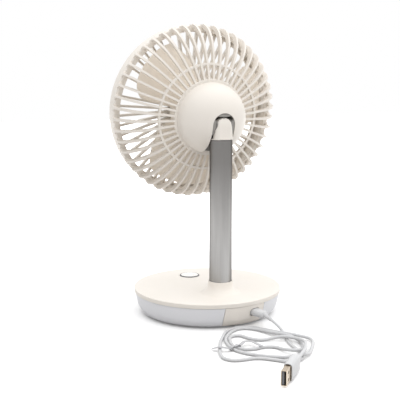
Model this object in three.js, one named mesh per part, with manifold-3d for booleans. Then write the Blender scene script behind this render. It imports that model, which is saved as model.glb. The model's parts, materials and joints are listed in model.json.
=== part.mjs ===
// Desk fan: weighted round base, metal pole, tilting caged head and a detachable USB lead.
// Millimetres. +Z is up, and the origin is on the table under the centre of the base.
// The air leaves along -Y. The pole, the lead socket and the lead are on the +Y side.
import * as THREE from 'three';
import { mergeVertices } from 'three/addons/utils/BufferGeometryUtils.js';
import Module from 'manifold-3d';

const wasm = await Module();
wasm.setup();
const degrees = Math.PI / 180;

// Clearances
const seatGap = 0.3; // between a piece and what it rests on or fits in
const slideGap = 0.35; // round the button

// Base housing
const baseRadius = 72;
const baseHeight = 25.2; // to the flat top face
const lipHeight = 4.2;
const coverWall = 2.2;
const skirtWall = 2;
const skirtInset = 1.2; // from the lip to the top of the skirt
const skirtFootInset = 7.7; // from the lip to the foot of the skirt
const ledgeWidth = 3; // inner ledge of the skirt, on the bottom plate
const ledgeThickness = 2;
const plateThickness = 2.2;
const footHeight = 1.6;
const footRadius = 7;
const footInset = 10; // from the plate's edge to the middle of a foot
const ballastClearance = 3.4; // to the screw bosses
const ballastThickness = 6;

// Screws
const screwRadius = 1.1;
const screwHeadRadius = 2.5;
const screwHeadHeight = 1.2;
const screwHoleGap = 0.3;
const bossWall = 2.2;
const baseScrewInset = 14; // from the plate's edge
const baseScrewLength = 11;
const poleScrewCount = 3;

// Power button and its switch
const buttonRadius = 9.9;
const buttonY = -43.3;
const buttonProud = 0.6;
const buttonTravel = 0.8;
const buttonFlangeWidth = 1.4;
const buttonFlangeThickness = 1.6;
const boardThickness = 1.6;
const buttonBoardDepth = 14;
const boardPostGap = 3.2; // from the button's flange to the board's posts
const boardPostRadius = 2.2;
const buttonToSwitch = 8.4; // from the button's face to the top of the switch
const switchSide = 6;
const switchHeight = 3.4;
const plungerRadius = 1.6;
const plungerHeight = 1.5; // above the switch

// Pole and its foot
const poleRadius = 10.6;
const poleWall = 1.2;
const poleY = 29.9;
const poleTop = 171.3;
const collarTop = 37;
const collarWall = 0.8;
const collarFillet = 9;
const flangeRadius = 22;
const flangeThickness = 2.6;
const socketWall = 2.5;
const socketHeight = 14;
const wireRadius = 1.3;
const wireHoleRadius = 2.7;

// Tilt joint
const tiltAngle = 6.5; // the head looks up this much at rest
const pivotAbovePole = 14;
const postHalfWidth = 8.6;
const postDepth = 11.2; // from its rear face, which is flush with the pole
const crownBelowPivot = 2; // centre of the post's arched top
const pivotToRear = 7.8; // from the tilt pin to the post's rear face
const postFlange = 0.8; // rim on top of the pole
const plugDepth = 20; // of the post's plug inside the pole
const pinRadius = 2;
const washerRadius = 5;
const washerThickness = 0.9;
const postFlat = 6.6; // half width across the post's bearing flats
const armThickness = 2.7;
const armHeight = 10;
const slotHalfWidth = 11.2;
const channelWall = 1.4;
const bracketWall = 4.5;
const earReach = 12;
const earHeight = 8;

// Head, in its own frame: the axis is Y, and the rim of the motor cover is at y = 0
const pivotBehindRim = 25.8;
const pivotBelowAxis = 2;
const domeRadius = 33.8;
const domeDepth = 31.5;
const domeWall = 2;
const hubRingWall = 2.8;
const hubRingDepth = 4;
const ribCount = 48;
const ribThickness = 2;
const ribDepth = 4.6; // across a slat, square to its thickness
const ribOverhang = 2.2; // the slats' ends stand out past the front ring
const guideRingRadius = 50.1;
const guideRingWall = 2;
const guideRingDepth = 2.7;
const headDepth = 55; // from the cover's rim to the front of the ring
const ringRadius = 83.5;
const ringWall = 2.9;
const ringDepth = 16;
const ringLip = 1;
const rimWall = 2.1;
const rimDepth = 6.5;
const shoulderThickness = 1.4; // flange of the rim, on the front ring
const frontRibDepth = 7;
const frontRimWall = 2.8;
const frontRibEndDepth = 4.8;
const capRadius = 19.5;
const capRingWall = 2.6;
const capThickness = 3;

// Motor, shaft and impeller
const housingPlate = 2.8;
const motorRadius = 15.2;
const motorWall = 1.2;
const motorLength = 20;
const motorCupWall = 2;
const motorCupDepth = 16;
const shaftRadius = 1.2;
const shaftLength = 42;
const bearingRadius = 3;
const bearingLength = 2.4;
const rotorRadius = 9;
const magnetWall = 3.2;
const airGap = 0.9;
const hubRadius = 25;
const hubWall = 2;
const hubFront = 43;
const hubLength = 26;
const hubBossRadius = 4;
const hubBossLength = 11;
const bladeCount = 3;
const bladeTipRadius = 72.5;
const bladeThickness = 1.5;
const nutRadius = 3.5;
const nutThickness = 3;

// Lead socket in the base, and the panel round it
const portAngle = 14.5; // from +Y towards -X
const portZ = 13.7;
const panelCentreAngle = 6.25;
const panelHalfAngle = 17.85;
const panelGap = 0.35; // at each side, along the skirt
const portHoleWidth = 12.7;
const portHoleHeight = 8.2;
const socketRecess = 3.8; // from the skirt's face to the socket's mouth
const socketDepth = 6.4;
const socketWidth = 9.6;
const socketThickness = 3.9;
const socketShell = 0.35;
const portBoardLength = 18;
const portBoardWidth = 15;

// Lead
const cordRadius = 1.4;
const plugWidth = 11.5;
const plugThickness = 7;
const plugLength = 18;
const plugReliefLength = 9;
const plugReliefDroop = 17; // degrees below level
const tipWidth = 8.2;
const tipThickness = 2.4;
const tipLength = 5.6;
const usbTip = new THREE.Vector2(36.3, 213.3);
const usbHeading = 44.4; // from +Y towards +X
const usbShellLength = 12.4;
const usbShellWidth = 12;
const usbShellThickness = 4.5;
const usbShellWall = 0.4;
const usbBodyLength = 27;
const usbBodyWidth = 16;
const usbBodyThickness = 8.2;
const usbReliefLength = 10;
const coilOutline = [
  [51, 140], [50.5, 131.5], [47, 121], [41.5, 109.5], [35, 98], [27, 86.5], [19, 76], [9.5, 69.5], [-2, 68.2],
  [-12.5, 73.2], [-20, 87], [-23.5, 99.5], [-25.5, 105.2], [-31.5, 113.5], [-37.5, 117.5], [-42, 124], [-42, 132.5],
  [-37, 141], [-30, 150.5], [-22.5, 159], [-16, 164.5], [-9.5, 166.8], [-4, 168.6], [3.5, 170.5], [9, 167.5],
  [13, 162.5], [17.5, 158], [21.5, 154], [26.5, 151.5], [32.5, 150.5], [40, 150], [47, 147.5],
];
const coilEye = new THREE.Vector2(15, 108.5);
const coilEyeLong = 15;
const coilEyeWide = 8;
const coilEyeHeading = 72; // from +X towards +Y
const coilHeight = 9.4;
const tieWidth = 3.4;
const tieThickness = 0.6;
const tiePlace = new THREE.Vector2(31.2, 112);
const tieHeading = -26; // from +X towards +Y
const tieReach = 9.3; // half of the band's width across the coil
const tieShortEnd = 6;
const tieLongEnd = 9;

// The lead's way over the table from plug to plug, once round the wide loops and once round the small one.
// The first and last stretches are the cord_lead and cord_tail pieces, and cord_coil holds the rest.
const leadWay = [
  [-24.5, 95.5, 8.6], [-26, 99.5, 6.2], [-26.5, 103.5, 3.9], [-26, 108, 2.1], [-24, 114.5, 1.5],
  [-21.5, 121, 1.5], [-19, 129, 1.5], [-17.5, 138, 1.5], [-16.5, 146, 1.5], [-14.5, 153.5, 1.5],
  [-12, 160, 1.5], [-8.5, 165.5, 1.5], [-3, 169, 1.5], [3, 169, 1.5], [7.5, 166, 1.5], [11.5, 161, 1.5],
  [16, 156.5, 1.5], [20, 152.5, 1.5], [25.5, 149.5, 1.5], [32, 148.5, 1.5], [39.5, 148, 1.5],
  [45.5, 145.5, 1.5], [49, 140, 1.5], [48.5, 132, 1.5], [45, 122, 1.5], [39.5, 111, 1.5],
  [33.5, 99.5, 1.5], [25.5, 88, 1.5], [17.5, 77.5, 1.5], [8.5, 71.5, 1.5], [-1.5, 70, 1.5],
  [-11.5, 75, 1.5], [-18, 88, 2.2], [-22, 101, 3.6], [-25, 110, 4.8], [-30.5, 115.5, 4.2],
  [-36, 119.5, 3.2], [-40, 125, 2.6], [-40, 131.5, 2.2], [-35, 140, 1.7], [-28, 149, 1.5],
  [-21, 157.5, 2.2], [-15, 163, 3.8], [-9.5, 165, 4.6], [-3.5, 164, 4.2], [1.5, 160, 2.4], [7.5, 154, 1.5],
  [15.5, 148, 1.5], [23, 140.5, 1.5], [29, 132, 1.5], [32, 122, 1.5], [31, 109.5, 1.5], [27, 96.5, 1.5],
  [19, 85, 1.5], [9.5, 76.5, 1.5], [-1, 73.5, 1.5], [-9.5, 79, 1.5], [-15, 90, 2.2], [-18.5, 103, 3.6],
  [-22, 112, 4.6], [-25, 117, 4.5], [-28.5, 122, 2.9], [-29.5, 127.5, 1.8], [-28, 134, 1.5],
  [-25, 140, 1.9], [-22.5, 145, 2.8], [-21, 149.5, 3.8], [-17, 153.5, 4.6], [-11.5, 154, 4.6],
  [-7.5, 150.5, 4.1], [-5.5, 145, 3.2], [-5, 139, 2], [-3.5, 132.5, 1.5], [1, 129, 1.5], [7, 127.5, 1.5],
  [13.5, 128.5, 1.5], [20, 127.5, 1.5], [25, 124, 1.5], [28, 116, 1.5], [27, 107, 1.5], [25, 101.5, 1.5],
  [23, 96, 1.5], [19.5, 91.5, 1.5], [14.5, 89.5, 1.5], [10, 92, 1.5], [8, 97, 1.5], [6, 102, 1.5],
  [3.5, 106, 1.5], [0, 109, 1.5], [-3.5, 110.5, 1.6], [-9.5, 112, 2.3], [-15, 114.5, 3.6], [-20, 118, 4.5],
  [-24, 124, 4.9], [-26.5, 131.5, 5.4], [-26, 141, 6.2], [-21, 151.5, 7], [-14, 161.5, 7.6],
  [-6, 170, 7.9],
];
const leadPoints = 3;
const tailPoints = 1;

const finishes = {
  cream: { color: '#efe6da', roughness: 0.45, metalness: 0 },
  greyPlastic: { color: '#c3c4c8', roughness: 0.5, metalness: 0 },
  darkPlastic: { color: '#6b665f', roughness: 0.6, metalness: 0 },
  aluminium: { color: '#a8a6a3', roughness: 0.35, metalness: 1 },
  steel: { color: '#b4b4b4', roughness: 0.35, metalness: 1 },
  iron: { color: '#6f6f70', roughness: 0.7, metalness: 1 },
  rubber: { color: '#3c3c3e', roughness: 0.9, metalness: 0 },
  board: { color: '#1f5a3a', roughness: 0.6, metalness: 0 },
  copper: { color: '#b06a3a', roughness: 0.4, metalness: 1 },
  cord: { color: '#dedede', roughness: 0.5, metalness: 0 },
};

// Indexed triangles with shared vertices, no slivers on a lathe's axis, and faces pointing out
function closedMesh(source) {
  const bare = source.clone();
  for (const name of Object.keys(bare.attributes)) {
    if (name !== 'position') bare.deleteAttribute(name);
  }
  const merged = mergeVertices(bare, 1e-4);
  const place = merged.attributes.position;
  const kept = [];
  let volume = 0;
  const corner = [0, 1, 2].map(() => new THREE.Vector3());
  for (let i = 0; i < merged.index.count; i += 3) {
    const [a, b, c] = [0, 1, 2].map((k) => merged.index.getX(i + k));
    if (a === b || b === c || c === a) continue;
    kept.push(a, b, c);
    [a, b, c].forEach((index, k) => corner[k].fromBufferAttribute(place, index));
    volume += corner[0].dot(corner[1].cross(corner[2]));
  }
  if (volume < 0) kept.reverse();
  merged.setIndex(kept);
  return merged;
}

function toSolid(geometry) {
  const source = closedMesh(geometry);
  const vertProperties = Float32Array.from(source.attributes.position.array);
  const triVerts = Uint32Array.from(source.index.array);
  return new wasm.Manifold(new wasm.Mesh({ numProp: 3, vertProperties, triVerts }));
}

function toGeometry(solid) {
  const raw = solid.getMesh();
  const geometry = new THREE.BufferGeometry();
  geometry.setAttribute('position', new THREE.BufferAttribute(raw.vertProperties, raw.numProp));
  geometry.setIndex(new THREE.BufferAttribute(raw.triVerts, 1));
  return geometry;
}

function join(first, ...others) {
  return toGeometry(others.reduce((sum, next) => sum.add(toSolid(next)), toSolid(first)));
}

function cut(body, ...tools) {
  return toGeometry(tools.reduce((rest, tool) => rest.subtract(toSolid(tool)), toSolid(body)));
}

function common(first, second) {
  return toGeometry(toSolid(first).intersect(toSolid(second)));
}

// A turned piece round Z from [radius, height] pairs. A ring's profile closes on itself.
function turned(profile, segments = 24) {
  const points = profile.map(([radius, height]) => new THREE.Vector2(radius, height));
  return new THREE.LatheGeometry(points, segments).rotateX(90 * degrees);
}

function ringProfile(inner, outer, low, high) {
  return [[inner, low], [outer, low], [outer, high], [inner, high], [inner, low]];
}

function discProfile(radius, low, high) {
  return [[0, low], [radius, low], [radius, high], [0, high]];
}

const tube = (inner, outer, low, high, segments) => turned(ringProfile(inner, outer, low, high), segments);
const disc = (radius, low, high, segments) => turned(discProfile(radius, low, high), segments);

// The same round the head's Y axis
function spun(profile, segments = 28) {
  return new THREE.LatheGeometry(profile.map(([radius, along]) => new THREE.Vector2(radius, along)), segments);
}

const spunRing = (inner, outer, front, back, segments) => spun(ringProfile(inner, outer, front, back), segments);
const spunDisc = (radius, front, back, segments) => spun(discProfile(radius, front, back), segments);

function rodAlongX(radius, from, to, segments = 20) {
  return disc(radius, from, to, segments).rotateY(90 * degrees);
}

function block(low, high) {
  const size = high.map((value, i) => value - low[i]);
  const box = new THREE.BoxGeometry(...size);
  return box.translate(...low.map((value, i) => value + size[i] / 2));
}

function roundedOutline(width, height, corner) {
  const [w, h] = [width / 2, height / 2];
  const outline = new THREE.Shape();
  outline.absarc(w - corner, h - corner, corner, 0, 90 * degrees);
  outline.absarc(corner - w, h - corner, corner, 90 * degrees, 180 * degrees);
  outline.absarc(corner - w, corner - h, corner, 180 * degrees, 270 * degrees);
  outline.absarc(w - corner, corner - h, corner, 270 * degrees, 360 * degrees);
  return outline;
}

// A bar with a rounded section (width along X, thickness along Z) that runs along Y
function roundedBar(width, thickness, corner, from, to) {
  const options = { depth: to - from, bevelEnabled: false, curveSegments: 2 };
  const bar = new THREE.ExtrudeGeometry(roundedOutline(width, thickness, corner), options);
  return bar.rotateX(90 * degrees).translate(0, to, 0);
}

function cordAlong(points, radius, steps) {
  const section = new THREE.Shape();
  section.absarc(0, 0, radius, 0, 360 * degrees);
  const extrudePath = new THREE.CatmullRomCurve3(points.map((point) => new THREE.Vector3(...point)));
  return new THREE.ExtrudeGeometry(section, { steps, extrudePath, curveSegments: 4 });
}

function add(group, name, geometry, finish) {
  const material = new THREE.MeshStandardMaterial(finishes[finish]);
  const piece = new THREE.Mesh(closedMesh(geometry), material);
  piece.name = name;
  group.add(piece);
}

const onCircle = (radius, angle) => [radius * Math.cos(angle * degrees), radius * Math.sin(angle * degrees)];
const fan = new THREE.Group();

// Levels in the base, from the table up
const plateLow = footHeight + seatGap;
const plateTop = plateLow + plateThickness;
const floorLevel = plateTop + seatGap; // where inner pieces stand on the bottom plate
const lipBottom = baseHeight - lipHeight;
const skirtTop = lipBottom - seatGap;
const coverUnderside = baseHeight - coverWall;
const skirtTopRadius = baseRadius - skirtInset;
const skirtFootRadius = baseRadius - skirtFootInset;
const plateRadius = skirtFootRadius - skirtWall - seatGap;
const footCircle = plateRadius - footInset;
const baseScrewCircle = plateRadius - baseScrewInset;
const screwHoleRadius = screwRadius + screwHoleGap;
const bossRadius = screwHoleRadius + bossWall;
const ballastRadius = baseScrewCircle - bossRadius - ballastClearance;
const baseScrewAngles = [45, 135, 225, 315];
const footAngles = [0, 90, 180, 270];
const poleHoleRadius = poleRadius + seatGap;
const buttonHoleRadius = buttonRadius + slideGap;
const pivotZ = poleTop + pivotAbovePole;
const socketFace = skirtRadiusAt(portZ) - socketRecess;

function skirtRadiusAt(height) {
  const share = (height - footHeight) / (skirtTop - footHeight);
  return skirtFootRadius + (skirtTopRadius - skirtFootRadius) * share;
}

function skirtRing() {
  const ledgeTop = floorLevel + ledgeThickness;
  const ledgeInner = plateRadius - ledgeWidth;
  return turned([
    [skirtFootRadius, footHeight],
    [skirtRadiusAt(ledgeTop), ledgeTop],
    [skirtTopRadius, skirtTop],
    [skirtTopRadius - skirtWall, skirtTop],
    [skirtRadiusAt(ledgeTop) - skirtWall, ledgeTop],
    [ledgeInner, ledgeTop],
    [ledgeInner, floorLevel],
    [plateRadius + seatGap, floorLevel],
    [plateRadius + seatGap, footHeight],
    [skirtFootRadius, footHeight],
  ], 48);
}

// A sector that takes in the skirt between two angles measured from +Y towards -X
function sector(centre, half) {
  const reach = baseRadius * 1.5;
  const outline = new THREE.Shape();
  outline.moveTo(0, 0);
  for (const angle of [centre - half, centre, centre + half]) {
    outline.lineTo(-reach * Math.sin(angle * degrees), reach * Math.cos(angle * degrees));
  }
  return new THREE.ExtrudeGeometry(outline, { depth: baseHeight, bevelEnabled: false });
}

function portPanel() {
  const gapAngle = panelGap / skirtFootRadius / degrees;
  const panel = common(skirtRing(), sector(panelCentreAngle, panelHalfAngle - gapAngle));
  const hole = roundedBar(portHoleWidth, portHoleHeight, 2, socketFace - socketDepth, baseRadius);
  return cut(panel, hole.translate(0, 0, portZ).rotateZ(portAngle * degrees));
}

function bottomPlate() {
  const screwHoles = baseScrewAngles.map((angle) =>
    disc(screwHoleRadius, 0, plateTop + 1, 12).translate(...onCircle(baseScrewCircle, angle), 0));
  const poleHoles = poleScrewPlaces().map((place) => disc(screwHoleRadius, 0, plateTop + 1, 12).translate(...place, 0));
  return cut(disc(plateRadius, plateLow, plateTop, 48), ...screwHoles, ...poleHoles);
}

function foot(angle) {
  const edge = footRadius - footHeight / 2;
  const pad = turned([[0, 0], [edge, 0], [footRadius, footHeight / 2], [footRadius, footHeight], [0, footHeight]], 16);
  return pad.translate(...onCircle(footCircle, angle), 0);
}

// Pan-head screw from below, with its head just clear of the plate
function screwFromBelow(length) {
  const under = plateLow - seatGap;
  const head = under - screwHeadHeight;
  return turned([
    [0, head],
    [screwHeadRadius - 0.3, head],
    [screwHeadRadius, under],
    [screwRadius, under],
    [screwRadius, under + length],
    [0, under + length],
  ], 12);
}

function poleScrewPlaces() {
  const circle = (poleHoleRadius + socketWall + flangeRadius) / 2;
  const step = 360 / poleScrewCount;
  return Array.from({ length: poleScrewCount }, (_, i) => {
    const [x, y] = onCircle(circle, 90 + step / 2 + i * step);
    return [x, poleY + y];
  });
}

function ballast() {
  const plate = disc(ballastRadius, floorLevel, floorLevel + ballastThickness, 48);
  const room = disc(flangeRadius + seatGap, 0, baseHeight, 40).translate(0, poleY, 0);
  return cut(plate, room);
}

// Underside height of the boards' posts: the board hangs below them
const switchTop = baseHeight + buttonProud - buttonToSwitch;
const boardTop = switchTop - switchHeight - seatGap;
const buttonPostX = buttonHoleRadius + buttonFlangeWidth + boardPostGap;
const portBoardTop = portZ - socketThickness / 2 - seatGap;
const portPostY = socketFace - portBoardLength + 3.4;
const portPostX = portBoardWidth / 2 - 2.6;

function coverPosts() {
  const post = (x, y, low) => disc(boardPostRadius, low, coverUnderside + 1, 10).translate(x, y, 0);
  const byButton = [-1, 1].map((side) => post(side * buttonPostX, buttonY, boardTop + seatGap));
  const byPort = [-1, 1].map((side) =>
    post(side * portPostX, portPostY, portBoardTop + seatGap).rotateZ(portAngle * degrees));
  const bosses = baseScrewAngles.map((angle) =>
    disc(bossRadius, floorLevel, coverUnderside + 1, 16).translate(...onCircle(baseScrewCircle, angle), 0));
  return [...byButton, ...byPort, ...bosses];
}

function collar() {
  const outer = poleHoleRadius + collarWall;
  const fillet = Array.from({ length: 5 }, (_, i) => {
    const turn = i * 22.5 * degrees;
    return [outer + collarFillet * (1 - Math.cos(turn)), baseHeight + collarFillet * (1 - Math.sin(turn))];
  });
  return turned([
    [0, collarTop],
    [outer, collarTop],
    ...fillet,
    [outer + collarFillet, coverUnderside + 0.5],
    [0, coverUnderside + 0.5],
  ]).translate(0, poleY, 0);
}

function topCover() {
  const edge = 0.8;
  const lipInner = skirtRadiusAt(skirtTop - coverWall) - skirtWall - seatGap;
  const shell = turned([
    [0, baseHeight],
    [baseRadius - edge, baseHeight],
    [baseRadius, baseHeight - edge],
    [baseRadius - edge / 2, lipBottom],
    [lipInner, lipBottom],
    [lipInner, skirtTop - coverWall],
    [lipInner - skirtWall, skirtTop - coverWall],
    [lipInner - skirtWall, coverUnderside],
    [0, coverUnderside],
  ], 48);
  const poleHole = disc(poleHoleRadius, 0, collarTop + 1).translate(0, poleY, 0);
  const buttonHole = disc(buttonHoleRadius, 0, collarTop).translate(0, buttonY, 0);
  const threads = baseScrewAngles.map((angle) =>
    disc(screwHoleRadius, 0, floorLevel + baseScrewLength, 12).translate(...onCircle(baseScrewCircle, angle), 0));
  return cut(join(shell, collar(), ...coverPosts()), poleHole, buttonHole, ...threads);
}

function powerButton() {
  const top = baseHeight + buttonProud;
  const flangeTop = coverUnderside - seatGap;
  const flangeLow = flangeTop - buttonFlangeThickness;
  const flangeRadius = buttonHoleRadius + buttonFlangeWidth;
  const stem = plungerRadius + 0.6;
  const stemLow = switchTop + plungerHeight + seatGap;
  return turned([
    [0, stemLow], [stem, stemLow], [stem, flangeLow], [flangeRadius, flangeLow], [flangeRadius, flangeTop],
    [buttonRadius, flangeTop], [buttonRadius, top - 0.5], [buttonRadius - 0.5, top], [0, top],
  ]).translate(0, buttonY, 0);
}

function switchHousing() {
  const [w, low] = [switchSide / 2, switchTop - switchHeight];
  const body = block([-w, buttonY - w, low], [w, buttonY + w, switchTop]);
  const well = disc(plungerRadius + seatGap, low + 0.5, switchTop + 1, 20).translate(0, buttonY, 0);
  return cut(body, well);
}

function switchPlunger() {
  const low = switchTop - switchHeight + 0.5 + seatGap + buttonTravel;
  return disc(plungerRadius, low, switchTop + plungerHeight, 20).translate(0, buttonY, 0);
}

function buttonBoard() {
  const [w, d] = [buttonPostX + boardPostRadius, buttonBoardDepth / 2];
  return block([-w, buttonY - d, boardTop - boardThickness], [w, buttonY + d, boardTop]);
}

function poleFoot() {
  const seat = floorLevel + flangeThickness;
  const outer = poleHoleRadius + socketWall;
  const body = turned([
    [wireHoleRadius, floorLevel], [flangeRadius, floorLevel], [flangeRadius, seat], [outer, seat],
    [outer, seat + socketHeight], [poleHoleRadius, seat + socketHeight], [poleHoleRadius, seat],
    [wireHoleRadius, seat], [wireHoleRadius, floorLevel],
  ]).translate(0, poleY, 0);
  const holes = poleScrewPlaces().map((place) => disc(screwHoleRadius, 0, seat + 1, 12).translate(...place, 0));
  return cut(body, wireNotch(), ...holes);
}

// Slot for the lead through the wall of the pole and of its foot, on the socket's side
function wireNotch() {
  const half = wireHoleRadius + 1;
  const low = portBoardTop;
  return block([-half, poleY, low], [half, poleY + poleRadius + socketWall + 1, low + 2 * half]);
}

function pole() {
  const low = floorLevel + flangeThickness + seatGap;
  const body = tube(poleRadius - poleWall, poleRadius, low, poleTop).translate(0, poleY, 0);
  return cut(body, wireNotch());
}

const postY = poleY + poleRadius - pivotToRear;
const leadExitZ = poleTop + 5;

function knuckle() {
  const plugRadius = poleRadius - poleWall - seatGap;
  const seat = poleTop + seatGap;
  const plug = disc(plugRadius, poleTop - plugDepth, seat + postFlange).translate(0, poleY, 0);
  const rim = disc(poleRadius, seat, seat + postFlange).translate(0, poleY, 0);
  const rear = postY + pivotToRear;
  const post = slotBar(postHalfWidth, rear - postDepth, rear, seat - pivotZ + crownBelowPivot - pivotBelowAxis)
    .translate(0, 0, pivotZ - crownBelowPivot + pivotBelowAxis);
  const flats = [-1, 1].flatMap((side) => {
    const [from, to] = [side * postFlat, side * poleRadius].sort((p, q) => p - q);
    const eyeRoom = rodAlongX(washerRadius + seatGap, from, to).translate(0, postY, pivotZ);
    const sweep = armHeight / 2 + 1.6;
    return [eyeRoom, block([from, rear - postDepth - 1, pivotZ - sweep], [to, postY, pivotZ + sweep])];
  });
  const pinHole = rodAlongX(pinRadius + seatGap, -poleRadius, poleRadius).translate(0, postY, pivotZ);
  const bore = disc(wireHoleRadius, 0, leadExitZ + wireHoleRadius, 16).translate(0, postY, 0);
  const exit = block(
    [-wireHoleRadius, postY - pivotToRear - 1, leadExitZ - wireHoleRadius - 1],
    [wireHoleRadius, postY, leadExitZ + wireHoleRadius],
  );
  return cut(join(plug, rim, post), ...flats, pinHole, bore, exit);
}

function frictionWasher(side) {
  const inner = postFlat + seatGap;
  const ring = tube(pinRadius + seatGap, washerRadius, inner, inner + washerThickness, 20);
  return ring.rotateY(side * 90 * degrees).translate(0, postY, pivotZ);
}

function motorLead() {
  const radial = (distance, z) => {
    const angle = portAngle * degrees;
    return [-distance * Math.sin(angle), distance * Math.cos(angle), z];
  };
  const level = portBoardTop + seatGap + wireRadius;
  return cordAlong([
    radial(socketFace - portBoardLength + 1.5, level),
    radial(socketFace - portBoardLength - 1.5, level + 0.4),
    [-5.2, poleY + 16.2, level + 0.8],
    [-0.8, poleY + 14.2, level + 1.8],
    [0, poleY + 10, level + 3.2],
    [0, poleY + 5, level + 6],
    [0, poleY + 1.5, level + 12],
    [0, poleY, level + 20],
    [0, poleY, poleTop * 0.5],
    [0, postY - 1, poleTop - plugDepth - 4],
    [0, postY, poleTop - plugDepth + 2],
    [0, postY, leadExitZ - 4],
    [0, postY - 1.2, leadExitZ - 0.8],
    [0, postY - 6.5, leadExitZ + 0.6],
  ], wireRadius, 20);
}

function buildBase() {
  add(fan, 'base_cover', topCover(), 'cream');
  add(fan, 'base_skirt', cut(skirtRing(), sector(panelCentreAngle, panelHalfAngle)), 'greyPlastic');
  add(fan, 'port_panel', portPanel(), 'cream');
  add(fan, 'bottom_plate', bottomPlate(), 'greyPlastic');
  footAngles.forEach((angle, i) => add(fan, `rubber_foot_${i + 1}`, foot(angle), 'rubber'));
  add(fan, 'ballast_weight', ballast(), 'iron');
  baseScrewAngles.forEach((angle, i) => {
    const screw = screwFromBelow(baseScrewLength).translate(...onCircle(baseScrewCircle, angle), 0);
    add(fan, `base_screw_${i + 1}`, screw, 'steel');
  });
  poleScrewPlaces().forEach((place, i) => {
    const length = floorLevel + flangeThickness - footHeight;
    add(fan, `pole_screw_${i + 1}`, screwFromBelow(length).translate(...place, 0), 'steel');
  });
  add(fan, 'power_button', powerButton(), 'cream');
  add(fan, 'switch_plunger', switchPlunger(), 'darkPlastic');
  add(fan, 'switch_housing', switchHousing(), 'steel');
  add(fan, 'button_board', buttonBoard(), 'board');
  add(fan, 'pole_foot', poleFoot(), 'steel');
  add(fan, 'pole_tube', pole(), 'aluminium');
  add(fan, 'tilt_knuckle', knuckle(), 'cream');
  add(fan, 'friction_washer_left', frictionWasher(1), 'steel');
  add(fan, 'friction_washer_right', frictionWasher(-1), 'steel');
  add(fan, 'motor_lead', motorLead(), 'darkPlastic');
}

// Head pieces. Positive y is towards the rear, and the cover's rim is at y = 0.
const ringFront = -headDepth;
const ringBack = ringFront + ringDepth;
const ringInner = ringRadius - ringWall;
const rimOuter = ringInner - seatGap;
const rimInner = rimOuter - rimWall;
const armInner = postFlat + seatGap + washerThickness + seatGap;
const armOuter = slotHalfWidth - seatGap;

function domeProfile(radius, depth) {
  const profile = Array.from({ length: 8 }, (_, i) => {
    const turn = i * 90 / 7 * degrees;
    return [radius * Math.cos(turn), depth * Math.sin(turn)];
  });
  profile[7][0] = 0;
  return profile;
}

function domeSolid(inset, start, segments = 36) {
  const profile = domeProfile(domeRadius - inset, domeDepth - inset);
  return spun([[0, start], ...profile], segments);
}

// U outline, open downwards, with its arch round the tilt axis; it runs along Y
function slotBar(halfWidth, from, to, low) {
  const outline = new THREE.Shape();
  outline.moveTo(-halfWidth, low);
  outline.lineTo(halfWidth, low);
  outline.absarc(0, -pivotBelowAxis, halfWidth, 0, 180 * degrees);
  const bar = new THREE.ExtrudeGeometry(outline, { depth: to - from, bevelEnabled: false, curveSegments: 8 });
  return bar.rotateX(90 * degrees).translate(0, to, 0);
}

function motorCover() {
  const outer = domeProfile(domeRadius, domeDepth);
  const inner = domeProfile(domeRadius - domeWall, domeDepth - domeWall).reverse();
  const shell = spun([...outer, ...inner, outer[0]], 36);
  return cut(shell, slotBar(slotHalfWidth, -1, domeDepth + 1, -domeRadius - 1));
}

function tiltBracket() {
  const front = 0;
  const back = front + bracketWall;
  const outer = slotHalfWidth + channelWall;
  const channel = cut(
    slotBar(outer, front, domeDepth, -domeRadius),
    slotBar(slotHalfWidth, back, domeDepth + 1, -domeRadius - 1),
  );
  const inside = domeSolid(domeWall + seatGap, front);
  const arms = [-1, 1].map((side) => {
    const [a, b] = [side * armInner, side * armOuter].sort((p, q) => p - q);
    const half = armHeight / 2;
    const bar = block([a, back - 1, -pivotBelowAxis - half], [b, pivotBehindRim, -pivotBelowAxis + half]);
    const eye = rodAlongX(half, a, b).translate(0, pivotBehindRim, -pivotBelowAxis);
    return common(join(bar, eye), slotBar(armOuter, 0, domeDepth, -domeRadius));
  });
  const ears = block(
    [-outer - earReach, front, -pivotBelowAxis - earHeight / 2],
    [outer + earReach, back, -pivotBelowAxis + earHeight / 2],
  );
  const armRoom = domeSolid(0.6, front);
  const pinHole = rodAlongX(pinRadius + seatGap, -outer, outer).translate(0, pivotBehindRim, -pivotBelowAxis);
  const clippedArms = arms.map((arm) => cut(common(arm, armRoom), pinHole));
  const screwHoles = bracketScrewX().map((x) =>
    spunDisc(screwHoleRadius, front - 1, back + 1, 12).translate(x, 0, -pivotBelowAxis));
  return cut(join(common(join(channel, ears), inside), ...clippedArms), ...screwHoles);
}

const bracketScrewX = () => [-1, 1].map((side) => side * (motorRadius + motorCupWall + 2 * screwHeadRadius));

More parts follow.
